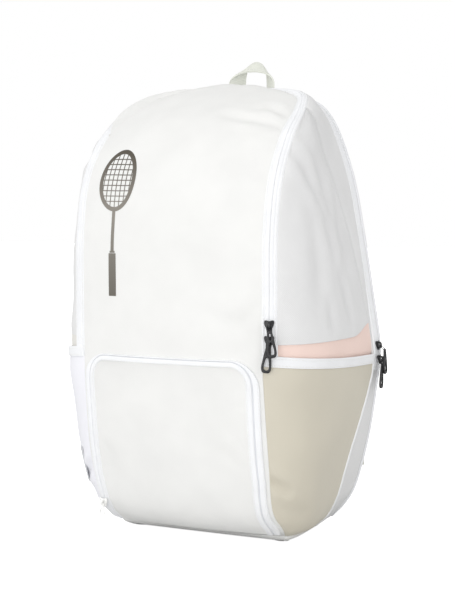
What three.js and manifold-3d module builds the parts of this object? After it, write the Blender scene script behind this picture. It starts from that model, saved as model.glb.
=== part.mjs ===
// A racket backpack, in millimetres, +Z up. The origin is on the flat underside, midway across
// and near its front edge. +Y points to the wearer's back and +X to the right of someone looking
// at the front.
import * as THREE from "three";
import { mergeVertices } from "three/addons/utils/BufferGeometryUtils.js";
import Module from "manifold-3d";

const wasm = await Module();
wasm.setup();

// ---- Driving dimensions -------------------------------------------------------------------

// The right half of the two long seams, from the base to the middle of the top: x, y, z.
// The left half mirrors it. The last point lies on the middle plane.
const FRONT_SEAM = [
  [101, -31, 9], [107, -50, 21], [106, -74, 46], [108.5, -89, 100], [108, -97, 155],
  [107, -101, 205], [107, -101.5, 270], [107, -100.5, 335], [107, -88, 392],
  [105, -54, 438], [99, -8, 466], [84, 30, 483], [50, 45, 491], [0, 49, 493],
];
const BACK_SEAM = [
  [104, 84, 7], [117, 96, 24], [129, 100, 48], [143, 100, 100], [152, 100, 155],
  [156.5, 100, 205], [147, 100, 270], [136, 100, 335], [124.5, 100, 392],
  [109, 100, 438], [95.5, 100, 464], [78, 100, 480], [46, 100, 490], [0, 100, 494],
];
// How far the side billows out past the front seam, and how far the front crowns, at each point.
const SIDE_BULGE = [14, 30, 40, 49, 55, 60, 60, 52, 48, 47, 36, 15, 6, 5];
const FRONT_CROWN = [3, 7, 11, 13, 13, 13, 13, 13, 13, 13, 13, 12, 7, 0];
const BACK_CROWN = 5;
const TOP = FRONT_SEAM.length - 1;

const GAP = 0.4; // between sewn neighbours, so that no two solids touch
const SEAM_GAP = 0.9; // on each side of a seam that slants across the side
const COIL_GAP = 1; // between the two halves of a zip
const FLAP_FOLD = 5.88; // where along the seam the front flap folds, at z 262
const ZIP_END = 5.17; // where the front zip ends, at z 216
const MAIN_ZIP_END = 4.5; // where the main zip ends, at z 180
const TAPE_HALF = 7.5; // width of half a zip, from its edge to the line of its coil
const TAPE_THICK = 1.4;
const PANEL_THICK = 2.6;
const FOAM_THICK = 3.2;

// The side seam's distance from the back seam, above and below the end of the main zip.
const UPPER_SEAM_KNOTS = [[4.5, 17.5], [5, 18], [5.5, 20], [6, 25], [7, 40], [8, 66], [9, 96], [10, 108]];
const LOWER_SEAM_KNOTS = [[0, 50], [1.4, 55], [2.5, 56], [3, 50], [3.5, 37], [4, 24], [4.4, 18], [5.3, 17]];
const SIDE_PANEL_TOP = 9.75;
const SIDE_PANEL_FOOT = 5.28;

// Side pockets: the mouth slopes down towards the back, and the inner wall stands back from it.
const MOUTH_TOP = [5.12, 4.88]; // at the front and at the back of the mouth
const MOUTH_BAND = 0.2;
const POCKET_FOOT = 0.12;
const POCKET_DEPTH = 15;
const POCKET_WALL_TOP = 5.5;

// Front pocket, measured on the front panel.
const FRONT_POCKET_TOP_Z = 206;
const FRONT_POCKET_FOOT_Z = 17;
const FRONT_POCKET_FOLD_Z = 50;
const FRONT_POCKET_HALF_WIDTH = 104;
const FRONT_POCKET_CORNER = 30;
const FRONT_POCKET_LIFT = 3.6;
const BAND_WIDTH = 6.5;
const FRONT_PANEL_RECESS = 15;

// Zip sliders and their pulls.
const SLIDER = { width: 10.5, length: 10.5, plate: 1.6, ride: 1.5, bailWidth: 2.6, bailHeight: 3.8 };
const PULL = { width: 10.5, length: 33, thick: 1.6, bar: 1.1, crank: 4.8 };
const FRONT_SLIDER_Z = [243, 227];
const MAIN_SLIDER_Z = [207, 191];

// Carrying parts.
const STRAP_PATH = [
  [40, 119, 446], [45, 138, 436], [57, 160, 402], [73, 168, 342], [89, 160, 284], [101, 144, 236],
  [106, 135, 212],
];
const STRAP_WIDTH = [44, 50, 60, 62, 60, 50, 36];
const STRAP_THICK = 10;
const WEB_WIDTH = 25;
const WEB_THICK = 1.6;
const ANCHOR = [124, 107, 58];
const HANDLE = { y: 99, foot: 502, frontSpan: 29, rearSpan: 14, frontRise: 16, rearRise: 28, width: 14 };

// ---- Colours ------------------------------------------------------------------------------

const cloth = (colour) => new THREE.MeshStandardMaterial({ color: colour, roughness: 0.85, metalness: 0 });
const WHITE = cloth("#f2f1ed");
const TAPE = cloth("#f4f5f9");
const GREY = cloth("#d9d8d6");
const BEIGE = cloth("#d6d1c4");
const PINK = cloth("#e8cfc2");
const LINING = cloth("#c9c6c0");
const FOAM = cloth("#e6e4df");
const WEBBING = cloth("#e9ebe2");
const PRINT = cloth("#6b6358");
const BLACK = new THREE.MeshStandardMaterial({ color: "#16161a", roughness: 0.4, metalness: 0.1 });
const PALE = new THREE.MeshStandardMaterial({ color: "#e4e4e2", roughness: 0.4, metalness: 0.2 });

// ---- Curves and surfaces ------------------------------------------------------------------

const backpack = new THREE.Group();
const V = (x, y, z) => new THREE.Vector3(x, y, z);
const mix = (a, b, t) => a + (b - a) * t;
const clamp = (x, low, high) => Math.min(Math.max(x, low), high);
const smooth = (x) => {
  const t = clamp(x, 0, 1);
  return t * t * (3 - 2 * t);
};

// Straight-line interpolation in a list of [x, y] pairs.
function along(knots, x) {
  const last = knots.length - 1;
  if (x <= knots[0][0]) return knots[0][1];
  for (let i = 0; i < last; i++) {
    const [x0, y0] = knots[i];
    const [x1, y1] = knots[i + 1];
    if (x <= x1) return mix(y0, y1, (x - x0) / (x1 - x0));
  }
  return knots[last][1];
}

// A smooth curve through one coordinate of the seam tables. `mirror` is -1 for x, which changes
// sign beyond the middle of the top, and 1 for everything else.
function spline(values, u, mirror) {
  const n = values.length - 1;
  const at = (k) => {
    if (k < 0) return 2 * values[0] - values[1];
    return k > n ? mirror * values[2 * n - k] : values[k];
  };
  const i = clamp(Math.floor(u), 0, n - 1);
  const f = u - i;
  const [a, b, c, d] = [at(i - 1), at(i), at(i + 1), at(i + 2)];
  const bend = 2 * a - 5 * b + 4 * c - d;
  return 0.5 * (2 * b + (c - a) * f + bend * f * f + (3 * b - a - 3 * c + d) * f ** 3);
}

const column = (table, k) => table.map((row) => row[k]);
const FRONT_COLUMNS = [0, 1, 2].map((k) => column(FRONT_SEAM, k));
const BACK_COLUMNS = [0, 1, 2].map((k) => column(BACK_SEAM, k));
const onSeam = ([x, y, z], u) => V(spline(x, u, -1), spline(y, u, 1), spline(z, u, 1));
const frontSeam = (u) => onSeam(FRONT_COLUMNS, u);
const backSeam = (u) => onSeam(BACK_COLUMNS, u);

// The direction square to a seam in the XZ plane, away from the bag. It stays level near the base.
function awayFrom(seam, u) {
  const step = 0.01;
  const t = seam(u + step).sub(seam(u - step));
  return V(t.z, 0, -t.x * smooth(u / 2)).normalize();
}

// The right side of the bag: u runs up the seams and v from the front seam to the back seam.
function sidePoint(u, v) {
  const p0 = frontSeam(u);
  const p3 = backSeam(u);
  const bulge = spline(SIDE_BULGE, u, 1);
  const depth = p3.distanceTo(p0);
  const p1 = p0.clone().addScaledVector(awayFrom(frontSeam, u), bulge);
  p1.y += 0.3 * bulge;
  const p2 = p3.clone().addScaledVector(awayFrom(backSeam, u), 3);
  p2.y -= 0.45 * depth;
  const w = 1 - v;
  return p0.multiplyScalar(w ** 3)
    .addScaledVector(p1, 3 * w * w * v)
    .addScaledVector(p2, 3 * w * v * v)
    .addScaledVector(p3, v ** 3);
}

// Lengths along the side at one height, so that bands keep their width in millimetres.
const SIDE_STEPS = 32;
const rulers = new Map();
function ruler(u) {
  const key = u.toFixed(5);
  if (!rulers.has(key)) {
    const lengths = [[0, 0]];
    let last = sidePoint(u, 0);
    let total = 0;
    for (let i = 1; i <= SIDE_STEPS; i++) {
      const next = sidePoint(u, i / SIDE_STEPS);
      total += next.distanceTo(last);
      lengths.push([total, i / SIDE_STEPS]);
      last = next;
    }
    rulers.set(key, { total, lengths });
  }
  return rulers.get(key);
}
const sideLength = (u) => ruler(u).total;
const sideAt = (u, distance) => sidePoint(u, along(ruler(u).lengths, distance));

// A point given by a signed height: past the top it comes down the left side.
function bothSides(s, distanceAt) {
  const u = s <= TOP ? s : 2 * TOP - s;
  const p = sideAt(u, distanceAt(u));
  if (s > TOP) p.x = -p.x;
  return p;
}

// The front panel: s from -1 at the left seam to 1 at the right, drawn in from the seam by `inset`.
function frontPoint(s, u, inset = 1) {
  const step = 0.15;
  const low = frontSeam(u - step);
  const high = frontSeam(Math.min(u + step, TOP));
  const t = high.clone().sub(low);
  const normal = V(0, -t.z, t.y).normalize();
  const inward = t.clone().cross(normal).normalize();
  const edge = frontSeam(u).addScaledVector(inward, inward.x > 0 ? -inset : inset);
  const crown = spline(FRONT_CROWN, u, 1) * (1 - Math.abs(s) ** 2.4);
  return V(s * Math.max(edge.x, 0.5), edge.y, edge.z).addScaledVector(normal, crown);
}

// The back panel, crowned a little towards the wearer.
function backPoint(s, u, inset = 3.6) {
  const p = backSeam(u).addScaledVector(awayFrom(backSeam, u), -inset);
  return V(s * Math.max(p.x, 0.5), p.y + 1 + BACK_CROWN * (1 - s * s), p.z);
}

// The height along the seams at which `surface(u)` reaches the height z.
function heightAt(surface, z, low = 0, high = 10.5) {
  for (let i = 0; i < 40; i++) {
    const middle = (low + high) / 2;
    if (surface(middle).z < z) low = middle;
    else high = middle;
  }
  return (low + high) / 2;
}

// A point of the front panel given by its x and z.
function frontAt(x, z) {
  const s = (u) => x / (frontSeam(u).x - 1);
  const u = heightAt((w) => frontPoint(s(w), w), z);
  return frontPoint(s(u), u);
}

// ---- Solids -------------------------------------------------------------------------------

// A geometry from vertices and triangles, turned the right way out if its volume is negative.
function closed(points, triangles) {
  let volume = 0;
  for (const [a, b, c] of triangles) volume += points[a].dot(points[b].clone().cross(points[c]));
  const index = triangles.flatMap(([a, b, c]) => (volume < 0 ? [a, c, b] : [a, b, c]));
  const geometry = new THREE.BufferGeometry().setFromPoints(points);
  geometry.setIndex(index);
  geometry.computeVertexNormals();
  return geometry;
}

// The unit normal of surface(a, b), facing away from the bag's core.
function normalOf(surface, a, b) {
  const step = 0.004;
  const [a0, a1] = [Math.max(a - step, 0), Math.min(a + step, 1)];
  const [b0, b1] = [Math.max(b - step, 0), Math.min(b + step, 1)];
  const n = surface(a1, b).sub(surface(a0, b)).cross(surface(a, b1).sub(surface(a, b0))).normalize();
  const p = surface(a, b);
  const core = V(0, clamp(p.y, -20, 60), clamp(p.z, 60, 420));
  return n.dot(p.sub(core)) < 0 ? n.negate() : n;
}

// A sheet of cloth or foam over surface(a, b): its outer face is `lift` above the surface.
// lift and thick may be numbers or functions of a and b.
function slab(n, m, surface, lift, thick) {
  const value = (f, a, b) => (typeof f === "function" ? f(a, b) : f);
  const outer = [];
  const inner = [];
  for (let i = 0; i <= n; i++) {
    for (let j = 0; j <= m; j++) {
      const [a, b] = [i / n, j / m];
      const p = surface(a, b);
      const normal = normalOf(surface, a, b);
      const top = value(lift, a, b);
      outer.push(p.clone().addScaledVector(normal, top));
      inner.push(p.clone().addScaledVector(normal, top - value(thick, a, b)));
    }
  }
  const half = outer.length;
  const triangles = [];
  const quad = (a, b, c, d) => triangles.push([a, b, c], [a, c, d]);
  const at = (i, j) => i * (m + 1) + j;
  for (let i = 0; i < n; i++) {
    for (let j = 0; j < m; j++) {
      quad(at(i, j), at(i + 1, j), at(i + 1, j + 1), at(i, j + 1));
      quad(half + at(i, j + 1), half + at(i + 1, j + 1), half + at(i + 1, j), half + at(i, j));
    }
  }
  for (let i = 0; i < n; i++) {
    quad(at(i, 0), half + at(i, 0), half + at(i + 1, 0), at(i + 1, 0));
    quad(at(i + 1, m), half + at(i + 1, m), half + at(i, m), at(i, m));
  }
  for (let j = 0; j < m; j++) {
    quad(at(0, j + 1), half + at(0, j + 1), half + at(0, j), at(0, j));
    quad(at(n, j), half + at(n, j), half + at(n, j + 1), at(n, j + 1));
  }
  return closed([...outer, ...inner], triangles);
}

// A closed solid over rings of points, each with the same count, with flat ends.
function loft(rings) {
  const k = rings[0].length;
  const triangles = [];
  for (let i = 0; i < rings.length - 1; i++) {
    for (let j = 0; j < k; j++) {
      const [a, b] = [i * k + j, i * k + ((j + 1) % k)];
      triangles.push([a, b, b + k], [a, b + k, a + k]);
    }
  }
  const last = (rings.length - 1) * k;
  for (let j = 1; j < k - 1; j++) {
    triangles.push([0, j + 1, j]);
    triangles.push([last, last + j, last + j + 1]);
  }
  return closed(rings.flat(), triangles);
}

// A convex section, a list of [across, up] pairs, swept through frames. frameAt(t) gives the
// origin, the unit vectors across and up, and a scale across.
function sweep(section, n, frameAt) {
  const rings = [];
  for (let i = 0; i <= n; i++) {
    const { origin, across, up, scale = 1 } = frameAt(i / n);
    const place = ([x, y]) => origin.clone().addScaledVector(across, x * scale).addScaledVector(up, y);
    rings.push(section.map(place));
  }
  return loft(rings);
}

const box = (w, h) => [[-w / 2, -h / 2], [w / 2, -h / 2], [w / 2, h / 2], [-w / 2, h / 2]];
function padSection(w, h) {
  const [x, y] = [w / 2, h / 2];
  const cut = h * 0.3;
  return [
    [-x, -y + cut], [-x + cut, -y], [x - cut, -y], [x, -y + cut],
    [x, y - cut], [x - cut, y], [-x + cut, y], [-x, y - cut],
  ];
}

// Frames along a list of points, with `across` kept as near to `wide` as it can be.
function framesOn(path, wide) {
  const curve = new THREE.CatmullRomCurve3(path.map((p) => V(...p)));
  return (t) => {
    const tangent = curve.getTangent(t);
    const across = wide.clone().addScaledVector(tangent, -wide.dot(tangent)).normalize();
    return { origin: curve.getPoint(t), across, up: tangent.clone().cross(across) };
  };
}

// A flat plate in the XZ plane, from its front face at y, with rounded edges if round is given.
function upright(shape, y, thick, round = 0) {
  const geometry = new THREE.ExtrudeGeometry(shape, {
    depth: thick - 2 * round,
    curveSegments: 6,
    bevelEnabled: round > 0,
    bevelThickness: round,
    bevelSize: round,
    bevelOffset: -round,
    bevelSegments: 2,
  });
  return geometry.rotateX(Math.PI / 2).translate(0, y + thick - round, 0);
}

const toShape = (points) => new THREE.Shape(points.map(([x, y]) => new THREE.Vector2(x, y)));

// A rectangle with rounded corners, centred on x and standing on y.
function roundRect(x, y, w, h, r, makeIn = THREE.Shape) {
  const shape = new makeIn();
  const [x0, x1, y1] = [x - w / 2, x + w / 2, y + h];
  shape.moveTo(x0 + r, y);
  shape.lineTo(x1 - r, y);
  shape.quadraticCurveTo(x1, y, x1, y + r);
  shape.lineTo(x1, y1 - r);
  shape.quadraticCurveTo(x1, y1, x1 - r, y1);
  shape.lineTo(x0 + r, y1);
  shape.quadraticCurveTo(x0, y1, x0, y1 - r);
  shape.lineTo(x0, y + r);
  shape.quadraticCurveTo(x0, y, x0 + r, y);
  return shape;
}

const extrude = (shape, depth, z = 0) =>
  new THREE.ExtrudeGeometry(shape, { depth, bevelEnabled: false, curveSegments: 3 }).translate(0, 0, z);

function toSolid(geometry) {
  const bare = geometry.clone();
  bare.deleteAttribute("normal");
  bare.deleteAttribute("uv");
  const merged = mergeVertices(bare, 1e-4);
  return new wasm.Manifold(
    new wasm.Mesh({
      numProp: 3,
      vertProperties: new Float32Array(merged.attributes.position.array),
      triVerts: new Uint32Array(merged.index.array),
    }),
  );
}
function toGeometry(solid) {
  const mesh = solid.getMesh();
  const geometry = new THREE.BufferGeometry();
  geometry.setAttribute("position", new THREE.BufferAttribute(new Float32Array(mesh.vertProperties), 3));
  geometry.setIndex(new THREE.BufferAttribute(new Uint32Array(mesh.triVerts), 1));
  geometry.computeVertexNormals();
  return geometry;
}
const joined = (...parts) => toGeometry(parts.map(toSolid).reduce((a, b) => a.add(b)));

function add(name, geometry, material) {
  const mesh = new THREE.Mesh(geometry, material);
  mesh.name = name;
  backpack.add(mesh);
  return mesh;
}
// A mesh whose own X, Y and Z lie along across, up and out.
function addPlaced(name, geometry, material, { origin, across, up, out }) {
  const mesh = add(name, geometry, material);
  mesh.position.copy(origin);
  mesh.quaternion.setFromRotationMatrix(new THREE.Matrix4().makeBasis(across, up, out));
  return mesh;
}
function mirrored(geometry) {
  const copy = geometry.clone().applyMatrix4(new THREE.Matrix4().makeScale(-1, 1, 1));
  const index = copy.index ? [...copy.index.array] : [...Array(copy.attributes.position.count).keys()];
  for (let i = 0; i < index.length; i += 3) [index[i + 1], index[i + 2]] = [index[i + 2], index[i + 1]];
  copy.setIndex(index);
  return copy;
}
function addPair(name, geometry, rightMaterial, leftMaterial = rightMaterial) {
  add(name + "_right", geometry, rightMaterial);
  add(name + "_left", mirrored(geometry), leftMaterial);
}

// ---- Base and stiffening ------------------------------------------------------------------

// The base is a shallow dish: its flat underside stands well inside the seams' feet.
const BASE_STEPS = 8;
const baseRight = [...Array(BASE_STEPS + 1).keys()].map((i) => sidePoint(0.05, i / BASE_STEPS));
const baseLeft = baseRight.map((p) => V(-p.x, p.y, p.z)).reverse();
const BASE_OUTLINE = [...baseRight, ...baseLeft];
const BASE_ROWS = [[20, 0], [10, 2], [4, 4.6], [1.5, 6.9]]; // inset and height
function baseRing([inset, height]) {
  return BASE_OUTLINE.map((p, i) => {
    const count = BASE_OUTLINE.length;
    const run = BASE_OUTLINE[(i + 1) % count].clone().sub(BASE_OUTLINE[(i + count - 1) % count]);
    const inward = V(-run.y, run.x, 0).normalize();
    return V(p.x + inward.x * inset, p.y + inward.y * inset, height);
  });
}
add("base_panel", loft(BASE_ROWS.map(baseRing)), WHITE);
add("base_board", extrude(roundRect(0, -20, 176, 86, 10), 3, 10), FOAM);

// The half-width of the inside at a height along the seams and a depth y, less a margin.
function insideWidth(u, y, margin) {
  let [low, high] = [0, 1];
  for (let i = 0; i < 30; i++) {
    const middle = (low + high) / 2;
    if (sidePoint(u, middle).y < y) low = middle;
    else high = middle;
  }
  return sidePoint(u, low).x - margin;
}
// An upright sheet that fills the inside between two heights at the depth y.
function bulkhead(y, thick, margin, low, high, mostWidth = 1000) {
  const steps = 10;
  const right = [];
  for (let i = 0; i <= steps; i++) {
    const u = mix(low, high, i / steps);
    right.push([Math.min(insideWidth(u, y, margin), mostWidth), frontSeam(u).z]);
  }
  return upright(toShape([...right, ...right.map(([x, z]) => [-x, z]).reverse()]), y, thick);
}
const WALL_CLEARANCE = POCKET_DEPTH + 11;
add("compartment_divider", bulkhead(-22, 4, WALL_CLEARANCE, 0.75, 9.1), LINING);
add("back_stiffener", bulkhead(90, 2.5, 9, 1.6, 10.2), FOAM);
add("laptop_sleeve", bulkhead(82, 3, WALL_CLEARANCE, 1.2, 6.4, 124), LINING);

// ---- Front panel and flap -----------------------------------------------------------------

// The panel stands back behind the front pocket and comes forward above it.
function frontRecess(a, b) {
  const u = mix(0.05, FLAP_FOLD, a);
  const rise = smooth((u - 0.7) / 1.5) * (1 - smooth((u - 4.3) / 0.6));
  return -FRONT_PANEL_RECESS * rise * (1 - Math.abs(2 * b - 1) ** 6);
}
const lowerFront = (a, b) => frontPoint(2 * b - 1, mix(0.05, FLAP_FOLD, a));
add("front_panel", slab(16, 10, lowerFront, frontRecess, FOAM_THICK), WHITE);

const FLAP_START = FLAP_FOLD + 0.01;
const FLAP_END = 12.93;
const flapSurface = (a, b) => frontPoint(2 * b - 1, mix(FLAP_START, FLAP_END, a));
add("front_flap", slab(22, 8, flapSurface, 0, FOAM_THICK), WHITE);

// A racket drawn in outline and laid on the flap.
const RACKET = {
  x: -65, foot: 268, grip: 48, gripWidth: 9, shaft: 42, stem: 4, head: 66, width: 46, rim: 4.6,
};
const headMiddle = RACKET.foot + RACKET.grip + RACKET.shaft + RACKET.head / 2;
const ring = new THREE.Shape().absellipse(0, headMiddle, RACKET.width / 2, RACKET.head / 2, 0, 2 * Math.PI);
const hole = new THREE.Path();
hole.absellipse(0, headMiddle, RACKET.width / 2 - RACKET.rim, RACKET.head / 2 - RACKET.rim, 0, 2 * Math.PI);
ring.holes.push(hole);
const PRINT_LIFT = 0.9;
const PRINT_THICK = 0.6;
const headDepth = { depth: PRINT_THICK, bevelEnabled: false, curveSegments: 14 };
const printHead = new THREE.ExtrudeGeometry(ring, headDepth);
const stemFoot = RACKET.foot + RACKET.grip - 4;
const printStem = extrude(roundRect(0, stemFoot, RACKET.stem, RACKET.shaft + 6, 1), PRINT_THICK);
const printGrip = extrude(roundRect(0, RACKET.foot, RACKET.gripWidth, RACKET.grip, 3), PRINT_THICK);
const print = joined(printHead, printStem, printGrip);
const printPlace = print.attributes.position;
for (let i = 0; i < printPlace.count; i++) {
  const [x, z] = [RACKET.x + printPlace.getX(i), printPlace.getY(i)];
  const sideways = frontAt(x + 2, z).sub(frontAt(x - 2, z));
  const upwards = frontAt(x, z + 2).sub(frontAt(x, z - 2));
  const normal = sideways.cross(upwards).normalize();
  const on = frontAt(x, z).addScaledVector(normal, PRINT_LIFT + printPlace.getZ(i));
  printPlace.setXYZ(i, on.x, on.y, on.z);
}
add("racket_print", toGeometry(toSolid(print)), PRINT);

// ---- Front pocket -------------------------------------------------------------------------

// The pocket's outline on the front panel: square feet, rounded top corners. inset draws it in.
function pocketRow(z, inset) {
  const top = FRONT_POCKET_TOP_Z - inset;
  const r = FRONT_POCKET_CORNER - inset;
  const reach = frontSeam(heightAt(frontSeam, z)).x - 3.5;
  const half = Math.min(FRONT_POCKET_HALF_WIDTH, reach) - inset;
  const into = z - (top - r);
  return into <= 0 ? half : half - r + Math.sqrt(Math.max(r * r - into * into, 0));
}
const WELT_INSET = BAND_WIDTH + COIL_GAP;
const PANEL_INSET = WELT_INSET + BAND_WIDTH + 2 * GAP;
const pocketPanel = (low, high, inset) => (a, b) => {
  const z = mix(low, high, 1 - (1 - a) ** 1.5);
  return frontAt((2 * b - 1) * pocketRow(z, inset), z);
};
const faceTop = FRONT_POCKET_TOP_Z - PANEL_INSET - GAP;
const pocketFace = pocketPanel(FRONT_POCKET_FOLD_Z + GAP, faceTop, PANEL_INSET);
add("front_pocket_panel", slab(12, 10, pocketFace, FRONT_POCKET_LIFT, PANEL_THICK), WHITE);
const pocketFoot = pocketPanel(FRONT_POCKET_FOOT_Z, FRONT_POCKET_FOLD_Z - GAP, WELT_INSET);
add("front_pocket_foot", slab(6, 10, pocketFoot, FRONT_POCKET_LIFT, PANEL_THICK), WHITE);

// A band that follows the pocket's outline up one side, over the top and down the other.
function pocketBand(inset, foot) {
  const r = FRONT_POCKET_CORNER;
  return (a, b) => {
    const draw = inset + b * BAND_WIDTH;
    const straight = FRONT_POCKET_TOP_Z - r - foot;
    const arc = (r * Math.PI) / 2;
    const half = straight + arc + FRONT_POCKET_HALF_WIDTH - r;
    const run = (a <= 0.5 ? a : 1 - a) * 2 * half;
    const side = a <= 0.5 ? 1 : -1;
    if (run <= straight) {
      const z = foot + run;
      return frontAt(side * pocketRow(z, draw), z);
    }
    const middle = FRONT_POCKET_HALF_WIDTH - r;
    if (run <= straight + arc) {
      const angle = (run - straight) / r;
      const reach = r - draw;
      const z = FRONT_POCKET_TOP_Z - r + reach * Math.sin(angle);
      return frontAt(side * (middle + reach * Math.cos(angle)), z);
    }
    return frontAt(side * (middle - (run - straight - arc)), FRONT_POCKET_TOP_Z - draw);
  };
}
add("front_pocket_gusset", slab(44, 1, pocketBand(0, FRONT_POCKET_FOOT_Z), 4.4, 3.8), TAPE);
add("front_pocket_welt", slab(36, 1, pocketBand(WELT_INSET, FRONT_POCKET_FOLD_Z + GAP), 4.8, 3.8), TAPE);

// ---- Sides --------------------------------------------------------------------------------

const upperSeam = (u) => sideLength(u) - along(UPPER_SEAM_KNOTS, u);
const lowerSeam = (u) => sideLength(u) - along(LOWER_SEAM_KNOTS, u);
const TAPE_EDGE = 2 * TAPE_HALF + GAP;
const band = (low, high, from, to) => (a, b) => {
  const u = mix(low, high, a);
  return sideAt(u, mix(from(u), to(u), b));
};

const besideFrontZip = () => TAPE_EDGE + GAP;
const sidePanel = band(SIDE_PANEL_FOOT, SIDE_PANEL_TOP, besideFrontZip, (u) => upperSeam(u) - SEAM_GAP);
addPair("side_panel", slab(16, 6, sidePanel, 0, PANEL_THICK), GREY);
const gussetFront = (u) => Math.max(upperSeam(u) + SEAM_GAP, TAPE_EDGE + GAP);
const gussetRear = (u) => sideLength(u) - TAPE_EDGE - GAP;
const GUSSET_FOOT = 4.6;
const topGusset = (a, b) =>
  bothSides(mix(GUSSET_FOOT, 2 * TOP - GUSSET_FOOT, a), (u) => mix(gussetFront(u), gussetRear(u), b));
add("top_gusset", slab(48, 3, topGusset, 0, PANEL_THICK), GREY);
const cornerFront = (u) => lowerSeam(u) + SEAM_GAP;
const rearCorner = band(0.1, MAIN_ZIP_END - 0.08, cornerFront, (u) => sideLength(u) - 1);
addPair("rear_corner", slab(10, 3, rearCorner, 0, PANEL_THICK), GREY);

const mouth = (b) => mix(MOUTH_TOP[0], MOUTH_TOP[1], b);
const POCKET_EDGE = 2;
const pocketSide = (a, b) => {
  const u = mix(POCKET_FOOT, mouth(b) - MOUTH_BAND - 0.02, a);
  return sideAt(u, mix(POCKET_EDGE, lowerSeam(u) - SEAM_GAP, b));
};
addPair("side_pocket", slab(12, 8, pocketSide, 0, PANEL_THICK - 0.4), BEIGE, WHITE);
const mouthBand = (a, b) => {
  const u = mix(mouth(b) - MOUTH_BAND, mouth(b), a);
  return sideAt(u, mix(POCKET_EDGE, lowerSeam(u) - SEAM_GAP, b));
};
addPair("side_pocket_band", slab(2, 8, mouthBand, 0.5, PANEL_THICK + 0.4), TAPE);

// The pocket's inner wall follows the side a little way in, and stands further back in its middle.
const wallSurface = (a, b) => {
  const u = mix(POCKET_FOOT + 0.1, POCKET_WALL_TOP, a);
  return sideAt(u, mix(TAPE_EDGE + 2, lowerSeam(u) - 3, b));
};
const WALL_INSET = 4.8;
const wallLift = (a, b) => {
  const u = mix(POCKET_FOOT + 0.1, POCKET_WALL_TOP, a);
  const tall = smooth((u - 0.4) / 1.4) * (1 - smooth((u - 5.25) / 0.25));
  return -WALL_INSET - POCKET_DEPTH * tall * Math.sin(Math.PI * b) ** 0.6;
};
addPair("side_pocket_wall", slab(20, 8, wallSurface, wallLift, 1.6), PINK, LINING);

const PATCH = { low: 2.25, high: 2.95, from: 17, to: 47 };
const patch = slab(3, 3, band(PATCH.low, PATCH.high, () => PATCH.from, () => PATCH.to), 1.3, 0.8);
add("side_patch", mirrored(patch), GREY);

// ---- Zips ---------------------------------------------------------------------------------

const ZIP_STEPS = 44;
const zipBand = (start, from, to) => (a, b) =>
  bothSides(mix(start, 2 * TOP - start, a), (u) => mix(from(u), to(u), b));
const flapHalf = [() => 0.7, () => TAPE_HALF - COIL_GAP / 2];
const bodyHalf = [() => TAPE_HALF + COIL_GAP / 2, () => TAPE_EDGE - GAP];
add("front_zip_flap_tape", slab(ZIP_STEPS, 1, zipBand(FLAP_START, ...flapHalf), 0, TAPE_THICK), TAPE);
add("front_zip_body_tape", slab(ZIP_STEPS, 1, zipBand(ZIP_END, ...bodyHalf), 0, TAPE_THICK), TAPE);
const footTape = band(ZIP_END, FLAP_FOLD - 0.01, ...flapHalf);
addPair("front_zip_foot_tape", slab(4, 1, footTape, 0, TAPE_THICK), TAPE);
const fromRear = (distance) => (u) => sideLength(u) - distance;
const shellHalf = [fromRear(TAPE_EDGE), fromRear(TAPE_HALF + COIL_GAP / 2)];
const backHalf = [fromRear(TAPE_HALF - COIL_GAP / 2), fromRear(1)];
add("main_zip_shell_tape", slab(ZIP_STEPS, 1, zipBand(MAIN_ZIP_END, ...shellHalf), 0, TAPE_THICK), TAPE);
add("main_zip_back_tape", slab(ZIP_STEPS, 1, zipBand(MAIN_ZIP_END, ...backHalf), 0, TAPE_THICK), TAPE);

// The frame in which a slider sits: up runs along the zip, out away from the bag.
function zipFrame(pointAt, z, reach) {
  const u = heightAt(pointAt, z);
  const origin = pointAt(u);
  const far = pointAt(heightAt(pointAt, z + reach));
  const up = far.sub(origin).normalize();
  const across = pointAt(u, 1).sub(pointAt(u, -1));
  across.addScaledVector(up, -across.dot(up)).normalize();
  return { origin, across, up, out: across.clone().cross(up) };
}

// The height of a pull's bar above the tape.
function barLift() {
  return SLIDER.ride + SLIDER.plate + SLIDER.bailHeight / 2;
}

// A slider: a waisted plate that rides over the coil, and a bail with an eye for the pull.
function sliderGeometry() {
  const { width, length, plate, ride, bailWidth, bailHeight } = SLIDER;
  const [w, l] = [width / 2, length / 2];
  const outline = [[-w * 0.55, -l], [w * 0.55, -l], [w * 0.8, -l * 0.2], [w, l * 0.35], [w * 0.8, l],
    [w * 0.2, l * 0.8], [-w * 0.2, l * 0.8], [-w * 0.8, l], [-w, l * 0.35], [-w * 0.8, -l * 0.2]];
  const body = toSolid(extrude(toShape(outline), plate, ride));
  const bail = new THREE.BoxGeometry(bailWidth, length * 0.72, bailHeight);
  bail.translate(0, 0, ride + plate + bailHeight / 2 - 0.2);
  const eye = new THREE.BoxGeometry(bailWidth + 2, length * 0.45, 2).translate(0, 0, barLift());
  return toGeometry(body.add(toSolid(bail)).subtract(toSolid(eye)));
}

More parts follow.
